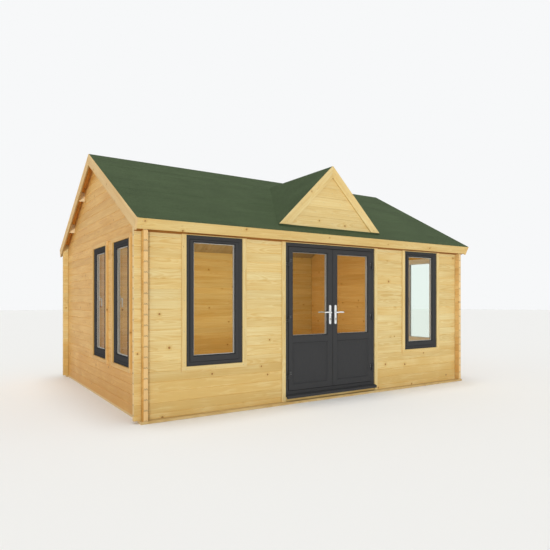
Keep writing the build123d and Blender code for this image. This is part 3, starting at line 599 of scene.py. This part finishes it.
for side, name, number in ((1, "front", 800.0), (-1, "back", 803.0)):
    # The board lies under the felt turned over it, on top and in front
    upslope, down, corner = slope(side)
    start = corner + (down + upslope) * TURNED_FELT
    wide, thick = FASCIA_WIDE - TURNED_FELT, FASCIA_THICK - TURNED_FELT
    row = (start, (side, 0, 0), down, wide, thick, SQUARE, (2 * VERGE, 0, 0))
    boards(name + "_fascia_board", [row], EASED, number, eave_timber, "trim_timber", name + "_fascia")
    nailed(name + "_fascia_nails", [row], -upslope, FASCIA_NAILS, FASCIA_NAIL_LINES)
    # The soffit falls from the fascia's lower edge to the wall, just over the window frames
    edge = start + down * wide + upslope * thick
    to_wall = np.array((0, side * FRONT_FACE, soffit_at_wall)) - (0, edge[1], edge[2])
    reach = np.linalg.norm(to_wall)
    rows = []
    for x0, x1 in ((-log_end, -gable_out), (-gable_in, gable_in), (gable_out, log_end)):
        origin = (x0 if side > 0 else x1, edge[1], edge[2])
        rows.append((origin, (side, 0, 0), to_wall / reach, reach, SOFFIT_THICK, SQUARE, (x1 - x0, 0, 0)))
    boards(name + "_eave_shade_soffit", rows, SOFFIT_ARRIS, number + SOFFIT_NUMBERS, painted_shade_eave_timber, "trim_timber")
for x, name, number in ((-VERGE, "left", 806.0), (VERGE, "right", 809.0)):
    rows = []
    for side in (1, -1):
        upslope, down, _ = slope(side)
        # The boards' depth runs away from the gable on one slope and towards it on the other
        outer = x + np.sign(x) * BARGE_THICK if side * x > 0 else x
        rows.append(((outer, 0, FELT_TOP - TURNED_FELT / UP[0]), upslope, down, BARGE_WIDE, BARGE_THICK,
                     (-EAVE / UP[0], 0, 0), (-PLUMB_GAP / UP[0], -RISE, 0)))
    boards(name + "_barge_pair", rows, EASED, number, verge_timber, "trim_timber", name + "_barge_boards")
    nailed(name + "_barge_nails", rows, (np.sign(x), 0, 0), BARGE_NAILS, BARGE_NAIL_LINES)


# Dormer: a false gable over the doors, six spruce boards cut to the triangle with two barge boards
# over their ends, under felt on boards of its own. All the boards end 18 mm clear of the roof, against
# rain, and a strip of felt is turned up behind their feet.

DECK_BOARD, SLANT, DORMER_ROWS, DORMER_BOARD, FOOT_CLEAR = 0.089, np.sqrt(0.5), 6, 0.019, 0.018
DORMER_ARRIS, DORMER_NAILS, DORMER_BARGE_NAILS = (0.0005, 0.003), 0.3, 0.35
deck_timber = beam_timber("planed_spruce_dormer_boards", 1, 460.0, DECK_BOARD, "DDBD7C", "B78846")
coat(deck_timber, "dormer_roof_boards")
dormer_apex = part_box("dormer_felt")[1].z
roof_at_front = FELT_TOP + FRONT_FACE * RISE
dormer_low = roof_at_front + FOOT_CLEAR
board_apex = dormer_apex - (FELT + ROOF_BOARD) / SLANT
row_height = (board_apex - dormer_low) / DORMER_ROWS
rows = []
for low in dormer_low + row_height * np.arange(DORMER_ROWS):
    reach = board_apex - low
    rows.append(((0, FRONT_FACE + DORMER_BOARD, low + BOARD_GAP), ALONG_X, UP_Z, row_height - 2 * BOARD_GAP,
                 DORMER_BOARD, (-reach, 1, 0), (reach, -1, 0)))
boards("dormer_boards", rows, DORMER_ARRIS, 820.0, trim_timber, "trim_timber", "dormer_front_boards")
nailed("dormer_board_nails", rows[:-1], (0, -1, 0), DORMER_NAILS)

# The strip's face stands 2 mm proud of the boards' face, and the strip covers the deck's ends
STRIP_SUNK, STRIP_BACK, STRIP_THICK = 0.002, 0.003, 0.005
strip_low = roof_at_front - STRIP_SUNK
reach = dormer_apex - strip_low
row = ((0, FRONT_FACE + STRIP_BACK, strip_low), ALONG_X, UP_Z, dormer_low - strip_low, STRIP_THICK,
       (-reach, 1, 0), (reach, -1, 0))
boards("dormer_felt_upstand", [row], FELT_ARRIS, 0.0, felt, "green_felt")

# On the left the barge board's depth runs forwards, so that one starts at its back
DORMER_BARGE, DORMER_BARGE_THICK, MITRE = 0.105, 0.020, 0.0007
foot = (dormer_apex - dormer_low) / SLANT
rows = [
    ((0, y, dormer_apex), (side * SLANT, 0, -SLANT), (-side * SLANT, 0, -SLANT), DORMER_BARGE,
     DORMER_BARGE_THICK, (MITRE, 1, 0), (foot, -1, 0))
    for side, y in ((1, FRONT_FACE - DORMER_BARGE_THICK), (-1, FRONT_FACE))
]
boards("dormer_barge_pair", rows, EASED, 830.0, trim_timber, "trim_timber", "dormer_barge_boards")
nailed("dormer_barge_nails", rows, (0, -1, 0), DORMER_BARGE_NAILS)


# Windows: fixed units of uPVC, a hollow welded extrusion with an anthracite foil outside and bare
# white inside, 60 mm deep, each an outer frame and a sash with black gaskets and white beads.

# Embossed anthracite foil on uPVC gives the eye a matt dark neutral grey, with no sheen even at a flat
# angle, and a shallow woodgrain emboss. Its lines are 0.5 mm apart; drawn 1.7 mm.
grey_foil, add = material("anthracite_foiled_upvc")
spot = add("VectorMath.MULTIPLY", add("TexCoord", out="Object"), (600.0, 600.0, 14.0))
emboss = add("TexNoise", spot, Scale=1.0, Detail=2.0)
colour = add("Mix", emboss, at={6: linear("3A3B3C"), 7: linear("484849")}, data_type="RGBA", out=2)
relief = add("Bump", Strength=0.25, Distance=0.0002, Height=emboss)
rough = add("MapRange", emboss, 0.3, 0.7, 0.38, 0.5)
add("OutputMaterial", add("BsdfPrincipled", colour, Roughness=rough, Specular_IOR_Level=0.0, Normal=relief))

# Clear float glass, 4 mm, with a coat against reflections, gives the eye the room behind it, and
# hardly any reflection even at a flat angle. An IOR of 1.03 gives the coated panes that.
glass, add = material("clear_float_glass")
clear = add("BsdfPrincipled", linear("FBFEFC"), Roughness=0.0, IOR=1.03, Transmission_Weight=1.0)
add("OutputMaterial", clear)

# Bare uPVC and powder coat give the eye a clean satin white, EPDM rubber a matt black, and the spacer
# bar a pale line between the panes
white_upvc = moulded("white_upvc", "E9E9E6", 0.3)
white_coat = moulded("white_powder_coat", "E6E8E8", 0.28, mottle=0.015)
gasket_rubber = moulded("black_epdm_rubber", "141414", 0.6)
spacer_bar = moulded("pale_spacer_bar", "E9E4E0", 0.5)


def around(rect, borders, section, gap=0.0):
    """An extrusion carried round a rectangle and mitred at its corners, in a wall's own directions:
    along it, into it and up. A section point is (edge, inset, depth), and lies edge * the border's
    width + inset in from the outer rectangle. With a gap, the four lengths are cut apart by it."""
    x0, x1, z0, z1 = rect
    left, right, low, high = borders
    edge, inset, depth = np.array(section, float).T
    xs = np.stack([x0 + edge * left + inset, x1 - edge * right - inset])[[0, 1, 1, 0]]
    zs = np.stack([z0 + edge * low + inset, z1 - edge * high - inset])[[0, 0, 1, 1]]
    corners = np.stack([xs, np.broadcast_to(depth, xs.shape), zs], axis=-1)
    run = np.array([(1, 0, 0), (0, 0, 1), (-1, 0, 0), (0, 0, -1)], float)[:, None] * gap / 2
    points = np.stack([corners + run, np.roll(corners, -1, axis=0) - run], axis=1)
    return points.reshape(-1, 3), tube_faces(2, len(section), 4)


def slab(rect, depth0, depth1):
    """A flat sheet between two depths, in a wall's own directions."""
    x0, x1, z0, z1 = rect
    grid = np.array(np.meshgrid((x0, x1), (depth0, depth1), (z0, z1), indexing="ij")).reshape(3, -1).T
    faces = np.array([(0, 1, 3, 2), (4, 5, 7, 6), (0, 1, 5, 4), (2, 3, 7, 6), (0, 2, 6, 4), (1, 3, 7, 5)])
    return grid, [faces]


def joined(pieces):
    """Several pieces' points and faces as one."""
    starts = np.cumsum([0] + [len(points) for points, _ in pieces])
    faces = [block + start for (_, blocks), start in zip(pieces, starts) for block in blocks]
    return np.concatenate([points for points, _ in pieces]), faces


# A wall's own directions in the object's: a point on its outer face, along it and into it
WALL_AXES = {
    "front": np.array(((0, FRONT_FACE, 0), (1, 0, 0), (0, 1, 0))),
    "left": np.array(((LEFT_FACE, FRONT_FACE, 0), (0, 1, 0), (1, 0, 0))),
    "right": np.array(((-LEFT_FACE, FRONT_FACE, 0), (0, 1, 0), (-1, 0, 0))),
}


def on_wall(side, pieces):
    """Moves pieces, as one, from a wall's own directions to the front, left or right wall."""
    points, faces = joined(pieces)
    origin, along, inward = WALL_AXES[side]
    return origin + points @ np.array((along, inward, UP_Z)), faces


def fitted(name, side, pieces, finish, slot, *replaced):
    """Pieces in a wall's own directions as one piece of the cabin."""
    return place(shape(name, *on_wall(side, pieces), finish), "cabin", slot, *replaced)


def shrunk(rect, borders):
    """The rectangle inside a frame with those border widths."""
    return (rect[0] + borders[0], rect[1] - borders[1], rect[2] + borders[2], rect[3] - borders[3])


WINDOW_WIDE, WINDOW_TALL = 0.667, 1.396
FRAME_FACE = (0.045, 0.045, 0.045, 0.045)
SASH_FACE = (0.045, 0.045, 0.063, 0.027)
NO_BORDER = (0, 0, 0, 0)
WELD = 0.0004
FOIL_DEPTH = 0.026
PANES = ((0.014, 0.018), (0.034, 0.038))
WINDOW_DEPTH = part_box("front_window_frames")[1].y - FRONT_FACE
frame_outside = ((0, 0, FOIL_DEPTH), (0, 0, 0.0015), (0, 0.0015, 0), (1, -0.006, 0), (1, -0.001, 0.004),
                 (1, 0, FOIL_DEPTH))
frame_inside = ((0, 0, FOIL_DEPTH), (1, 0, FOIL_DEPTH), (1, 0, WINDOW_DEPTH - 0.002),
                (1, -0.002, WINDOW_DEPTH), (0, 0.0015, WINDOW_DEPTH), (0, 0, WINDOW_DEPTH - 0.0015))
sash_outside = ((0, 0.001, FOIL_DEPTH), (0, 0.001, -0.004), (0, 0.002, -0.0068), (0, 0.0048, -0.008),
                (1, -0.009, -0.008), (1, -0.0066, -0.0064), (1, -0.001, 0.0125), (1, 0, 0.0135),
                (1, 0, FOIL_DEPTH))
sash_inside = ((0, 0.001, FOIL_DEPTH), (1, 0, FOIL_DEPTH), (1, 0, 0.0385), (1, 0.006, 0.0395),
               (1, 0.005, 0.0485), (1, 0.002, 0.051), (1, -0.002, 0.052), (0, 0.003, 0.052), (0, 0.001, 0.05))
glazing_seal = ((0, -0.001, 0.0115), (0, 0.0032, 0.0132), (0, 0.0032, 0.0142), (0, -0.001, 0.0142))
inner_seal = ((0, 0.001, 0.0378), (0, 0.0065, 0.0378), (0, 0.0065, 0.0392), (0, 0.001, 0.0392))
spacer = ((0, 0, 0.0182), (0, 0.0085, 0.0182), (0, 0.009, 0.026), (0, 0.0085, 0.0338), (0, 0, 0.0338))


def cushion_plate(centre_x, centre_z, half, corner, levels, steps=9):
    """A plate with round corners: its outline, a rectangle with arcs of the corner's radius, is drawn
    at each level (inset, depth) moved in by the inset, and the levels are joined."""
    angle = (np.arange(4)[:, None] * np.pi / 2 + np.linspace(0, np.pi / 2, steps)).ravel()
    sign_x, sign_z = np.repeat((1, -1, -1, 1), steps), np.repeat((1, 1, -1, -1), steps)
    inset, depth = np.array(levels, float).T[:, :, None]
    x = centre_x + sign_x * (half[0] - corner) + (corner - inset) * np.cos(angle)
    z = centre_z + sign_z * (half[1] - corner) + (corner - inset) * np.sin(angle)
    points = np.stack([x, np.broadcast_to(depth, x.shape), z], axis=-1).reshape(-1, 3)
    return points, tube_faces(len(levels), len(angle))


HANDLE_ABOVE_MIDDLE = 0.045
# A window handle on the sash inside: its oblong plate, its round neck and the grip that hangs down,
# each with its hang, half size, corner and levels
HANDLE_PARTS = (
    (0.0, (0.015, 0.036), 0.010, ((0.0, 0.052), (0.0, 0.058), (0.0012, 0.060), (0.0035, 0.062))),
    (0.0, (0.0085, 0.0085), 0.008, ((0.0, 0.061), (0.0, 0.076))),
    (0.0455, (0.0095, 0.055), 0.009, ((0.003, 0.074), (0.0008, 0.0755), (0.0, 0.078), (0.0, 0.084),
                                      (0.001, 0.0865), (0.0035, 0.088))),
)

# The frame's rectangle of each window, in its wall's own directions
window_rects = {}
for side in ("front", "left", "right"):
    foiled, white, seals, spacers, panes, handles = [[] for _ in range(6)]
    low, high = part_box(side + "_window_frames")
    first, last = (low.x, high.x) if side == "front" else (low.y - FRONT_FACE, high.y - FRONT_FACE)
    window_rects[side] = [
        (x0, x0 + WINDOW_WIDE, low.z, low.z + WINDOW_TALL) for x0 in (first, last - WINDOW_WIDE)
    ]
    for rect in window_rects[side]:
        sash = shrunk(rect, FRAME_FACE)
        pane = shrunk(sash, SASH_FACE)
        foiled += [around(rect, FRAME_FACE, frame_outside, WELD), around(sash, SASH_FACE, sash_outside, WELD)]
        white += [around(rect, FRAME_FACE, frame_inside, WELD), around(sash, SASH_FACE, sash_inside, WELD)]
        seals += [around(pane, NO_BORDER, glazing_seal), around(pane, NO_BORDER, inner_seal)]
        spacers.append(around(pane, NO_BORDER, spacer))
        panes += [slab(pane, *depths) for depths in PANES]
        # On the stile nearer the doorway in front, and on the rear one at the sides
        stile = sash[0] + SASH_FACE[0] / 2 if side == "front" and rect[0] > 0 else sash[1] - SASH_FACE[1] / 2
        height = (rect[2] + rect[3]) / 2 + HANDLE_ABOVE_MIDDLE
        handles += [cushion_plate(stile, height - hang, *form) for hang, *form in HANDLE_PARTS]
    fitted(side + "_window_foiled_frames", side, foiled, grey_foil, "grey_plastic", side + "_window_frames")
    fitted(side + "_window_white_insides", side, white, white_upvc, "grey_plastic")
    fitted(side + "_window_seals", side, seals, gasket_rubber, "grey_plastic")
    fitted(side + "_window_spacers", side, spacers, spacer_bar, "clear_glass")
    fitted(side + "_window_handles", side, handles, white_coat, "white_metal")
    fitted(side + "_window_panes", side, panes, glass, "clear_glass", side + "_window_glass")


# Window trims: planed spruce battens with eased edges, nailed to the logs round each window inside
# and out. The head and foot battens run over the ends of the side ones.

def batten(side, rect, depth0, depth1, upright):
    """One batten over a rectangle of a wall, between two depths, its grain lengthwise."""
    x0, x1, z0, z1 = rect
    origin, along, inward = WALL_AXES[side]
    upward = np.array(UP_Z)
    start = origin + along * x0 + upward * z0
    run, across, length, wide = ((upward, along, z1 - z0, x1 - x0) if upright
                                 else (along, upward, x1 - x0, z1 - z0))
    # The depth runs out of the wall where the two directions turn that way
    start = start + inward * (depth1 if np.dot(np.cross(run, across), inward) < 0 else depth0)
    return (start, run, across, wide, depth1 - depth0, SQUARE, (length, 0, 0))


def surround(side, rect, wide, depth0, depth1, foot=True):
    """Battens round an opening, with the head, and the foot where there is one, over the side ones."""
    x0, x1, z0, z1 = rect
    out0, out1 = x0 - wide, x1 + wide
    rects = [(out0, x0, z0, z1), (x1, out1, z0, z1), (out0, out1, z1, z1 + wide), (out0, out1, z0 - wide, z0)]
    return [batten(side, rects[i], depth0, depth1, i < 2) for i in range(4 if foot else 3)]


OUTER_TRIM, INNER_TRIM, TRIM_PROUD = 0.050, 0.040, 0.018
BATTEN_NAILS = 0.3
# The side walls' battens take the gables' more orange copy of the spruce: painted shade
side_trim_painted_shade = board_timber("planed_spruce_side_trim_painted_shade", "EDCC86", "CA974B")
for side, number in (("front", 840.0), ("left", 860.0), ("right", 880.0)):
    outer_rows, inner_rows = [], []
    for rect in window_rects[side]:
        outer_rows += surround(side, rect, OUTER_TRIM, -TRIM_PROUD, 0.0)
        inner_rows += surround(side, rect, INNER_TRIM, LOG_THICKNESS, WINDOW_DEPTH)
    boards(side + "_window_battens", outer_rows + inner_rows, EASED, number,
           trim_timber if side == "front" else side_trim_painted_shade, "trim_timber", side + "_window_trims")
    nailed(side + "_batten_nails", outer_rows, -WALL_AXES[side][2], BATTEN_NAILS)


# Door frame: the same foiled uPVC, with a stop all round that the leaves close against, a black
# seal on the stop, and a sloping cill under it. Spruce battens cover the joint with the logs.

door_low, door_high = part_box("door_frame")
DOOR_RECT = (door_low.x, door_high.x, door_low.z, door_high.z)
DOOR_FACE = (0.045, 0.045, 0.039, 0.045)
STOP_FRONT, STOP_WIDE = 0.056, 0.015
DOOR_DEPTH, DOOR_FOIL = door_high.y - FRONT_FACE, STOP_FRONT + 0.002
door_outside = ((0, 0, DOOR_FOIL), (0, 0, 0.0015), (0, 0.0015, 0), (1, -0.003, 0), (1, 0, 0.003),
                (1, 0, STOP_FRONT), (1, STOP_WIDE, STOP_FRONT), (1, STOP_WIDE, DOOR_FOIL))
door_inside = ((0, 0, DOOR_FOIL), (1, STOP_WIDE, DOOR_FOIL), (1, STOP_WIDE, DOOR_DEPTH - 0.002),
               (1, STOP_WIDE - 0.002, DOOR_DEPTH), (0, 0.0015, DOOR_DEPTH), (0, 0, DOOR_DEPTH - 0.0015))
stop_seal = ((1, 0.003, 0.056), (1, 0.0035, 0.053), (1, 0.0065, 0.0515), (1, 0.0095, 0.053), (1, 0.01, 0.056))
foiled = [around(DOOR_RECT, DOOR_FACE, door_outside, WELD)]
fitted("door_frame_foiled", "front", foiled, grey_foil, "grey_plastic", "door_frame")
white = [around(DOOR_RECT, DOOR_FACE, door_inside, WELD)]
fitted("door_frame_white_inside", "front", white, white_upvc, "grey_plastic")
seals = [around(DOOR_RECT, DOOR_FACE, stop_seal)]
fitted("door_frame_seal", "front", seals, gasket_rubber, "grey_plastic")
coat(grey_foil, "door_cill")

outer_rect = (*DOOR_RECT[:2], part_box("door_trims")[0].z, DOOR_RECT[3])
inner_rect = (*DOOR_RECT[:2], floor_high[2], DOOR_RECT[3])
outer_rows = surround("front", outer_rect, OUTER_TRIM, -TRIM_PROUD, 0.0, foot=False)
inner_rows = surround("front", inner_rect, INNER_TRIM, LOG_THICKNESS, DOOR_DEPTH, foot=False)
boards("door_battens", outer_rows + inner_rows, EASED, 900.0, trim_timber, "trim_timber", "door_trims")
nailed("door_batten_nails", outer_rows, (0, -1, 0), BATTEN_NAILS)


# Door leaves: welded uPVC stiles and rails, foiled outside and white inside, with double glazing in
# sloping beads above the middle rail and a plain sunk panel below it, each hung on three hinges.

HINGE_STILE, MEETING_STILE, TOP_RAIL, BOTTOM_RAIL, MIDDLE_RAIL = 0.056, 0.071, 0.052, 0.068, 0.075
LEAF_FRONT, LEAF_BACK, WHITE_FROM = -0.008, 0.050, 0.042
leaf_outside = ((0, 0, WHITE_FROM), (0, 0, LEAF_FRONT + 0.0025), (0, 0.0025, LEAF_FRONT),
                (1, -0.002, LEAF_FRONT), (1, 0, LEAF_FRONT + 0.002), (1, 0, WHITE_FROM))
leaf_inside = ((0, 0, WHITE_FROM), (1, 0, WHITE_FROM), (1, 0, LEAF_BACK - 0.002), (1, -0.002, LEAF_BACK),
               (0, 0.0025, LEAF_BACK), (0, 0, LEAF_BACK - 0.0025))
glass_bead = ((0, 0, -0.0062), (0, 0.0012, -0.0068), (0, 0.007, 0.0105), (0, 0.007, 0.012), (0, 0, 0.012))
panel_bead = ((0, 0, -0.0062), (0, 0.0015, -0.0068), (0, 0.013, 0.006), (0, 0.014, 0.008), (0, 0, 0.008))
white_bead = ((0, 0, 0.036), (0, 0.014, 0.036), (0, 0.0135, 0.046), (0, 0.011, 0.048), (0, 0, 0.048))
bead_seal = ((0, 0.0068, 0.0098), (0, 0.0098, 0.0112), (0, 0.0098, 0.0122), (0, 0.0068, 0.0122))
leaf_spacer = ((0, 0, 0.0162), (0, 0.0125, 0.0162), (0, 0.0125, 0.0318), (0, 0, 0.0318))
LEAF_PANES = ((0.012, 0.016), (0.032, 0.036))
PANEL_FRONT, PANEL_MIDDLE, PANEL_BACK = 0.008, 0.022, 0.036

leaf_low, leaf_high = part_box("right_door")
pane_low, pane_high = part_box("right_door_glass")
LEAF_RECT = (leaf_low.x, pane_high.x + HINGE_STILE, leaf_low.z, leaf_high.z)
LEAF_FACE = (MEETING_STILE, HINGE_STILE, BOTTOM_RAIL, TOP_RAIL)
OPEN_RECT = shrunk(LEAF_RECT, LEAF_FACE)
GLASS_RECT = (pane_low.x, pane_high.x, pane_low.z, pane_high.z)
PANEL_RECT = (*OPEN_RECT[:3], GLASS_RECT[2] - MIDDLE_RAIL)
RAIL_RECT = (*OPEN_RECT[:2], PANEL_RECT[3], GLASS_RECT[2])
# The seal that closes the gap between the leaves stands out from the meeting stile
MEETING_SEAL, SEAL_SUNK, SEAL_SHORT, SEAL_DEPTHS = 0.0048, 0.0004, 0.004, (-0.0055, -0.0010)
seal_rect = shrunk(LEAF_RECT, (-MEETING_SEAL, 0, SEAL_SHORT, SEAL_SHORT))
seal_rect = (seal_rect[0], LEAF_RECT[0] + SEAL_SUNK, *seal_rect[2:])


def on_both_sides(name, pieces, finish, slot, body="leaf", replaced=None, smooth=False):
    """A piece of the right-hand leaf, and its mirror image for the left-hand one. Each rides on the
    leaf or handle of its own side, or on the cabin, and may stand for that side's solid."""
    points, faces = joined(pieces)
    for hand, mirror in (("right", 1.0), ("left", (-1.0, 1.0, 1.0))):
        piece = shape(f"{hand}_{name}", points * mirror, faces, finish, smooth)
        solids = [f"{hand}_{replaced}"] if replaced else []
        place(piece, body if body == "cabin" else f"{hand}_{body}", slot, *solids)


foiled = [around(LEAF_RECT, LEAF_FACE, leaf_outside, WELD), slab(RAIL_RECT, LEAF_FRONT, WHITE_FROM),
          around(GLASS_RECT, NO_BORDER, glass_bead, WELD), around(PANEL_RECT, NO_BORDER, panel_bead, WELD),
          slab(PANEL_RECT, PANEL_FRONT, PANEL_MIDDLE)]
white = [around(LEAF_RECT, LEAF_FACE, leaf_inside, WELD), slab(RAIL_RECT, WHITE_FROM, LEAF_BACK),
         around(GLASS_RECT, NO_BORDER, white_bead, WELD), around(PANEL_RECT, NO_BORDER, white_bead, WELD),
         slab(PANEL_RECT, PANEL_MIDDLE, PANEL_BACK)]
seals = [around(GLASS_RECT, NO_BORDER, bead_seal), slab(seal_rect, *SEAL_DEPTHS)]
panes = [slab(GLASS_RECT, *depths) for depths in LEAF_PANES]
for part, pieces, finish, slot, replaced in (
        ("foiled_frame", foiled, grey_foil, "grey_plastic", "door"),
        ("white_inside", white, white_upvc, "grey_plastic", None),
        ("seals", seals, gasket_rubber, "grey_plastic", None),
        ("spacer", [around(GLASS_RECT, NO_BORDER, leaf_spacer)], spacer_bar, "clear_glass", None),
        ("panes", panes, glass, "clear_glass", "door_glass")):
    on_both_sides("door_" + part, [on_wall("front", pieces)], finish, slot, replaced=replaced)


# Hinges: coated steel flag hinges, a pin and lower barrel on the frame, and a barrel and flag on the
# leaf, each flag held by two countersunk screws.

# Coated steel gives the eye a satin near-black, and zinc plating bright pale screw heads
hinge_steel = moulded("dark_coated_steel", "2A2B2D", 0.4)
screw_steel = moulded("zinc_plated_steel", "A8A9A6", 0.35, Metallic=1.0)
coat(hinge_steel, "left_hinge_pins", "right_hinge_pins")
pins_low, pins_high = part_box("right_hinge_pins")
HINGE_X, HINGE_Y, HINGE_HALF, HINGE_PLAY = 0.6645, -1.945, 0.042, 0.0005
hinge_heights = (pins_low.z + HINGE_HALF, (pins_low.z + pins_high.z) / 2, pins_high.z - HINGE_HALF)
barrel = ((0.0045, 0.0005), (0.0066, 0.0005), (0.007, 0.001), (0.007, 0.0405), (0.0062, 0.0418),
          (0.0048, 0.042))
BARREL_SIDES, FLAG_NECK, FLAG_REACH, FLAG_THICK, FLAG_FROM = 20, 0.014, 0.036, 0.006, 0.0025
NECK_DEPTHS = (HINGE_Y - FRONT_FACE + 0.003, LEAF_FRONT + 0.001)
FLAG_DEPTHS = (LEAF_FRONT - FLAG_THICK, LEAF_FRONT)
LEAF_SCREW_X, FRAME_SCREW_X, SCREW_HEIGHTS = -0.027, 0.026, (0.012, 0.031)
SCREW_RADIUS, SCREW_PROUD, SCREW_SIDES = 0.0035, 0.0006, 12

flags = [
    slab((HINGE_X - reach, HINGE_X - FLAG_FROM, height + HINGE_PLAY, height + HINGE_HALF), *depths)
    for height in hinge_heights for reach, depths in ((FLAG_NECK, NECK_DEPTHS), (FLAG_REACH, FLAG_DEPTHS))
]
barrels = turned_work([(HINGE_X, HINGE_Y, height) for height in hinge_heights], UP_Z, barrel, BARREL_SIDES)
on_both_sides("leaf_hinges", [barrels, on_wall("front", flags)], hinge_steel, "hinge_metal")
for part, body, x, y, way in (("leaf", "leaf", LEAF_SCREW_X, FRONT_FACE + FLAG_DEPTHS[0], 1),
                              ("frame", "cabin", FRAME_SCREW_X, FRONT_FACE - FLAG_THICK, -1)):
    spots = [(HINGE_X + x, y, height + way * up) for height in hinge_heights for up in SCREW_HEIGHTS]
    heads = turned_work(spots, (0, -1, 0), head(SCREW_RADIUS, SCREW_PROUD), SCREW_SIDES)
    on_both_sides(part + "_hinge_screws", [heads], screw_steel, "hinge_metal", body)


# Door handles: white-coated cast levers on long plates with round ends, sprung, one inside and one
# outside on the same spindle, over a lock cylinder.

# Nickel-plated brass gives the eye a soft grey shine
cylinder_brass = moulded("nickel_plated_brass", "B4B2AB", 0.3, Metallic=1.0)
plates_low, plates_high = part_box("right_handle_plates")
lever_low, lever_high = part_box("right_lever")
HANDLE_X, PLATE_MIDDLE = (plates_low.x + plates_high.x) / 2, (plates_low.z + plates_high.z) / 2
LEVER_Z = (lever_low.z + lever_high.z) / 2
PLATE_HALF = ((plates_high.x - plates_low.x) / 2, (plates_high.z - plates_low.z) / 2)
PLATE_THICK, PLATE_CORNER = 0.010, 0.0145
CYLINDER_DROP, CYLINDER_HALF, CYLINDER_CORNER = 0.085, (0.0085, 0.016), 0.0083
plate_levels = ((0.0, 0.0), (0.0, 0.006), (0.0012, 0.0086), (0.0038, PLATE_THICK))
cylinder_levels = ((0.0, 0.0), (0.0, 0.0015), (0.0008, 0.0022))
# The lever's neck, bend and arm, its half width and half height at the neck and at the tip
LEVER_PATH, LEVER_ARCH, LEVER_TIP = (0.018, 0.012, 0.100), 0.004, 0.009
LEVER_FLAT, LEVER_TALL = (0.0075, 0.0055), (0.0085, 0.0080)
# The round collar on the plate, as (radius, height) points with an eased edge
COLLAR_SIDES, LEVER_GAP = 24, 0.0003
collar = ((0.0115, 0.0), (0.0115, 0.0036), (0.0103, 0.006))


def lever_arm(seat, out, steps=48, sides=16):
    """A lever: an oval section carried along a path that leaves the plate square, turns through an
    arc and runs outwards along the leaf, arched a little. The section narrows from a round neck to a
    flat oval, and closes at the tip as the square root of the distance left."""
    neck, arc, length = LEVER_PATH
    reach = np.linspace(0, 1, steps) ** 0.9 * (neck + arc * np.pi / 2 + length)
    bend = np.clip((reach - neck) / arc, 0, np.pi / 2)
    run = np.clip(reach - neck - arc * np.pi / 2, 0, None)
    x = HANDLE_X + arc * (1 - np.cos(bend)) + run
    y = seat + out * (np.minimum(reach, neck) + arc * np.sin(bend))
    z = LEVER_Z + LEVER_ARCH * np.sin(np.pi * run / length)
    left = np.clip((reach[-1] - reach) / LEVER_TIP, 0, 1)
    close = np.sqrt(1 - (1 - left) ** 2)
    flat, tall = [close * (neck_half + (tip_half - neck_half) * run / length)
                  for neck_half, tip_half in (LEVER_FLAT, LEVER_TALL)]
    across = np.stack([np.cos(bend), -out * np.sin(bend), 0 * bend], axis=1)
    east, north = circle(sides)
    rings = (np.stack([x, y, z], axis=1)[:, None] + np.outer(flat, east)[..., None] * across[:, None]
             + np.outer(tall, north)[..., None] * UP_Z)
    return rings.reshape(-1, 3), tube_faces(steps, sides)


plates, locks, levers = [], [], []
for seat, out in ((FRONT_FACE + LEAF_FRONT, -1.0), (FRONT_FACE + LEAF_BACK, 1.0)):
    for kept, middle, half, corner, levels, lift in (
            (plates, PLATE_MIDDLE, PLATE_HALF, PLATE_CORNER, plate_levels, 0.0),
            (locks, LEVER_Z - CYLINDER_DROP, CYLINDER_HALF, CYLINDER_CORNER, cylinder_levels, PLATE_THICK)):
        points, faces = cushion_plate(HANDLE_X, middle, half, corner, levels)
        kept.append((points * (1.0, out, 1.0) + (0, seat + out * lift, 0), faces))
    lever_seat = seat + out * (PLATE_THICK + LEVER_GAP)
    levers += [turned_work([(HANDLE_X, lever_seat, LEVER_Z)], (0, out, 0), collar, COLLAR_SIDES),
               lever_arm(lever_seat, out)]
on_both_sides("long_plates", plates, white_coat, "white_metal", replaced="handle_plates")
on_both_sides("lock_cylinders", locks, cylinder_brass, "white_metal")
on_both_sides("lever_pair", levers, white_coat, "white_metal", "handle", "lever", smooth=True)
